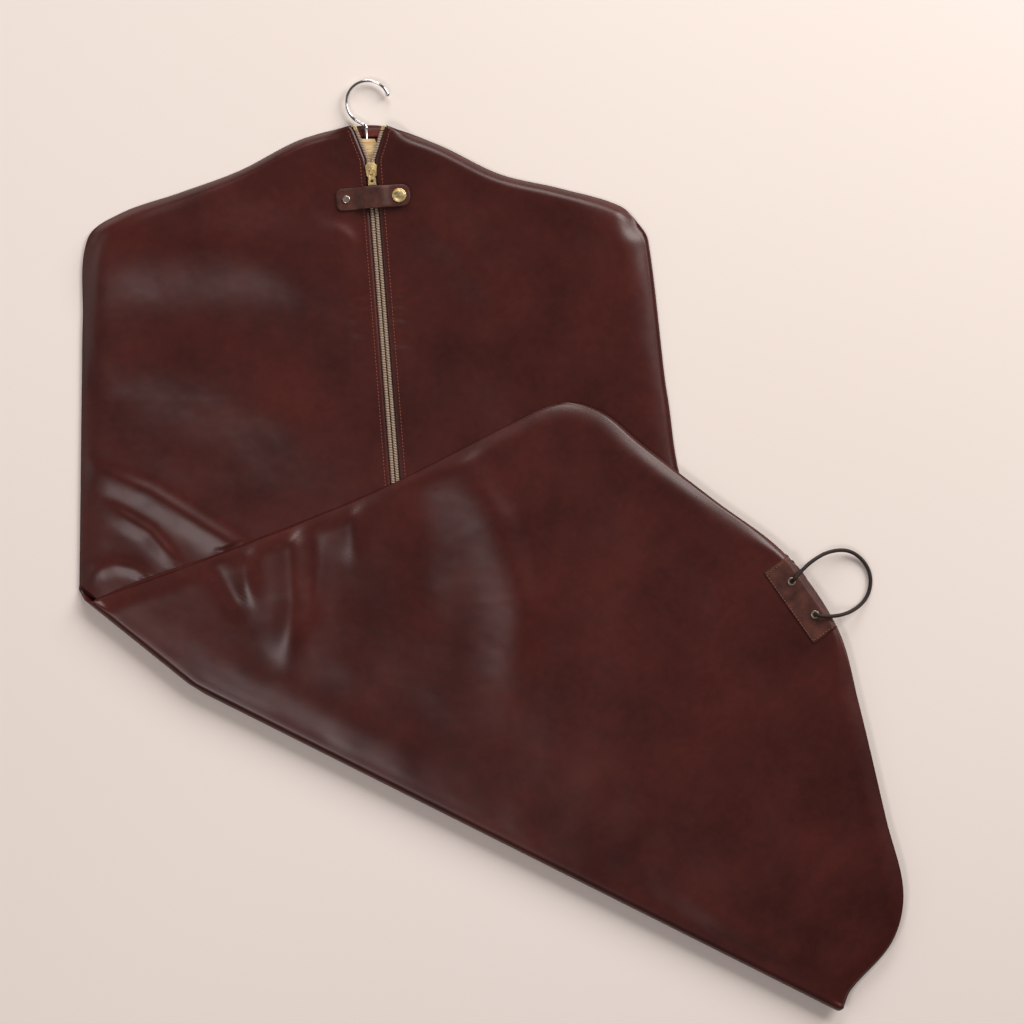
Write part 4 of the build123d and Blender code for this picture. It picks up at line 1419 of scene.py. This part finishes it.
@dataclass
class Studio:
    """A pale floor, soft light and a camera straight above."""

    floor_colour: str = "F6EFEA"
    floor_shade: str = "F3EBE5"
    cloud_mm: float = 1000 / 1.2
    floor_size: float = 6.0
    view_width: float = 1.068
    camera_height: float = 3.0
    centre: tuple[float, float] = (0.0221, 0.0326)
    lights: tuple[tuple, ...] = (  # name, place, aim, size, power, colour
        ("key", (2.8, 2.4, 2.1), (0.0, 0.0, 0.0), 2.2, 142.0, "FFF8F3"),
        ("window", (-0.95, -0.90, 2.3), (-0.1, -0.1, 0.0), 0.75, 15.0, "FFF2F0"),
        ("top", (0.2, 3.4, 1.8), (0.0, 0.1, 0.0), 2.0, 72.0, "FFF8F3"),
        ("side", (-3.2, 0.6, 1.5), (0.0, 0.0, 0.0), 2.0, 12.0, "FFF8F4"))
    world_colour: str = "FBF0E8"
    world_strength: float = 0.12

    def build(self) -> None:
        """Makes the floor, the lights and the camera."""
        bm = bmesh.new()
        bmesh.ops.create_grid(bm, x_segments=1, y_segments=1, size=self.floor_size / 2)
        floor = new_piece("floor", bm)
        material, tree, shader, place = start_material("matt_paper_sweep")
        cloud = grain(tree, place, self.cloud_mm, 1.0)
        tint(tree, shader, cloud, (0.3, self.floor_shade), (0.7, self.floor_colour))
        shader.inputs["Roughness"].default_value = 0.9
        floor.data.materials.append(material)
        for light in self.lights:
            self.light(*light)
        world = bpy.data.worlds.new("studio")
        bpy.context.scene.world = world
        world.use_nodes = True
        background = world.node_tree.nodes["Background"]
        background.inputs["Color"].default_value = linear(self.world_colour)
        background.inputs["Strength"].default_value = self.world_strength
        bpy.context.scene.view_settings.view_transform = "Standard"
        self.camera()

    def light(self, name: str, place: tuple, aim: tuple, size: float, power: float, colour: str) -> None:
        """Adds one square softbox that faces a point."""
        lamp = bpy.data.lights.new(name, "AREA")
        lamp.shape, lamp.size, lamp.energy = "SQUARE", size, power
        lamp.color = linear(colour)[:3]
        holder = bpy.data.objects.new(name, lamp)
        holder.location = place
        holder.rotation_euler = (Vector(place) - Vector(aim)).to_track_quat("Z", "Y").to_euler()
        bpy.context.scene.collection.objects.link(holder)

    def camera(self) -> None:
        """Puts the camera over the bag, looking straight down."""
        lens = bpy.data.cameras.new("camera")
        lens.sensor_width = 36.0
        lens.lens = lens.sensor_width * self.camera_height / self.view_width
        holder = bpy.data.objects.new("camera", lens)
        holder.location = (self.centre[0], self.centre[1], self.camera_height)
        bpy.context.scene.collection.objects.link(holder)
        bpy.context.scene.camera = holder


def beside(path: np.ndarray, offset: float) -> np.ndarray:
    """Offsets a plan path to its left by a distance."""
    way = np.gradient(path, axis=0)
    way = way / np.linalg.norm(way, axis=1)[:, None]
    return path + np.column_stack([-way[:, 1], way[:, 0]]) * offset


def main() -> None:
    """Builds the bag and its studio, and reports each piece."""
    logging.basicConfig(level=logging.INFO, format="%(name)s %(message)s")
    Studio().build()
    BackSkin().build()
    for side, folds, upper, lower in ((Side.LEFT, UPPER_LEFT_FOLDS, (0.35, 0.70), (0.74, 0.41)),
                                      (Side.RIGHT, UPPER_RIGHT_FOLDS, (0.48, 0.91), (0.50, 0.43))):
        panel = UpperFront(side, folds, upper)
        panel.build()
        LowerFront(side, lower).build()
        inset = 5.2 * MM if side is Side.LEFT else -5.2 * MM
        row = beside(panel.zip_edge, inset)
        Stitches(f"zip_stitches_{side.value}", "bag_upper").build(
            [row[2:-2]], lambda x, y, skin=panel.piece: drop_seen(skin, x, y))
    ZipChain().build()
    Hardware().build()
    SnapStrap().build()
    HemPatch().build()
    HangingCord().build()


if __name__ == "__main__":
    main()
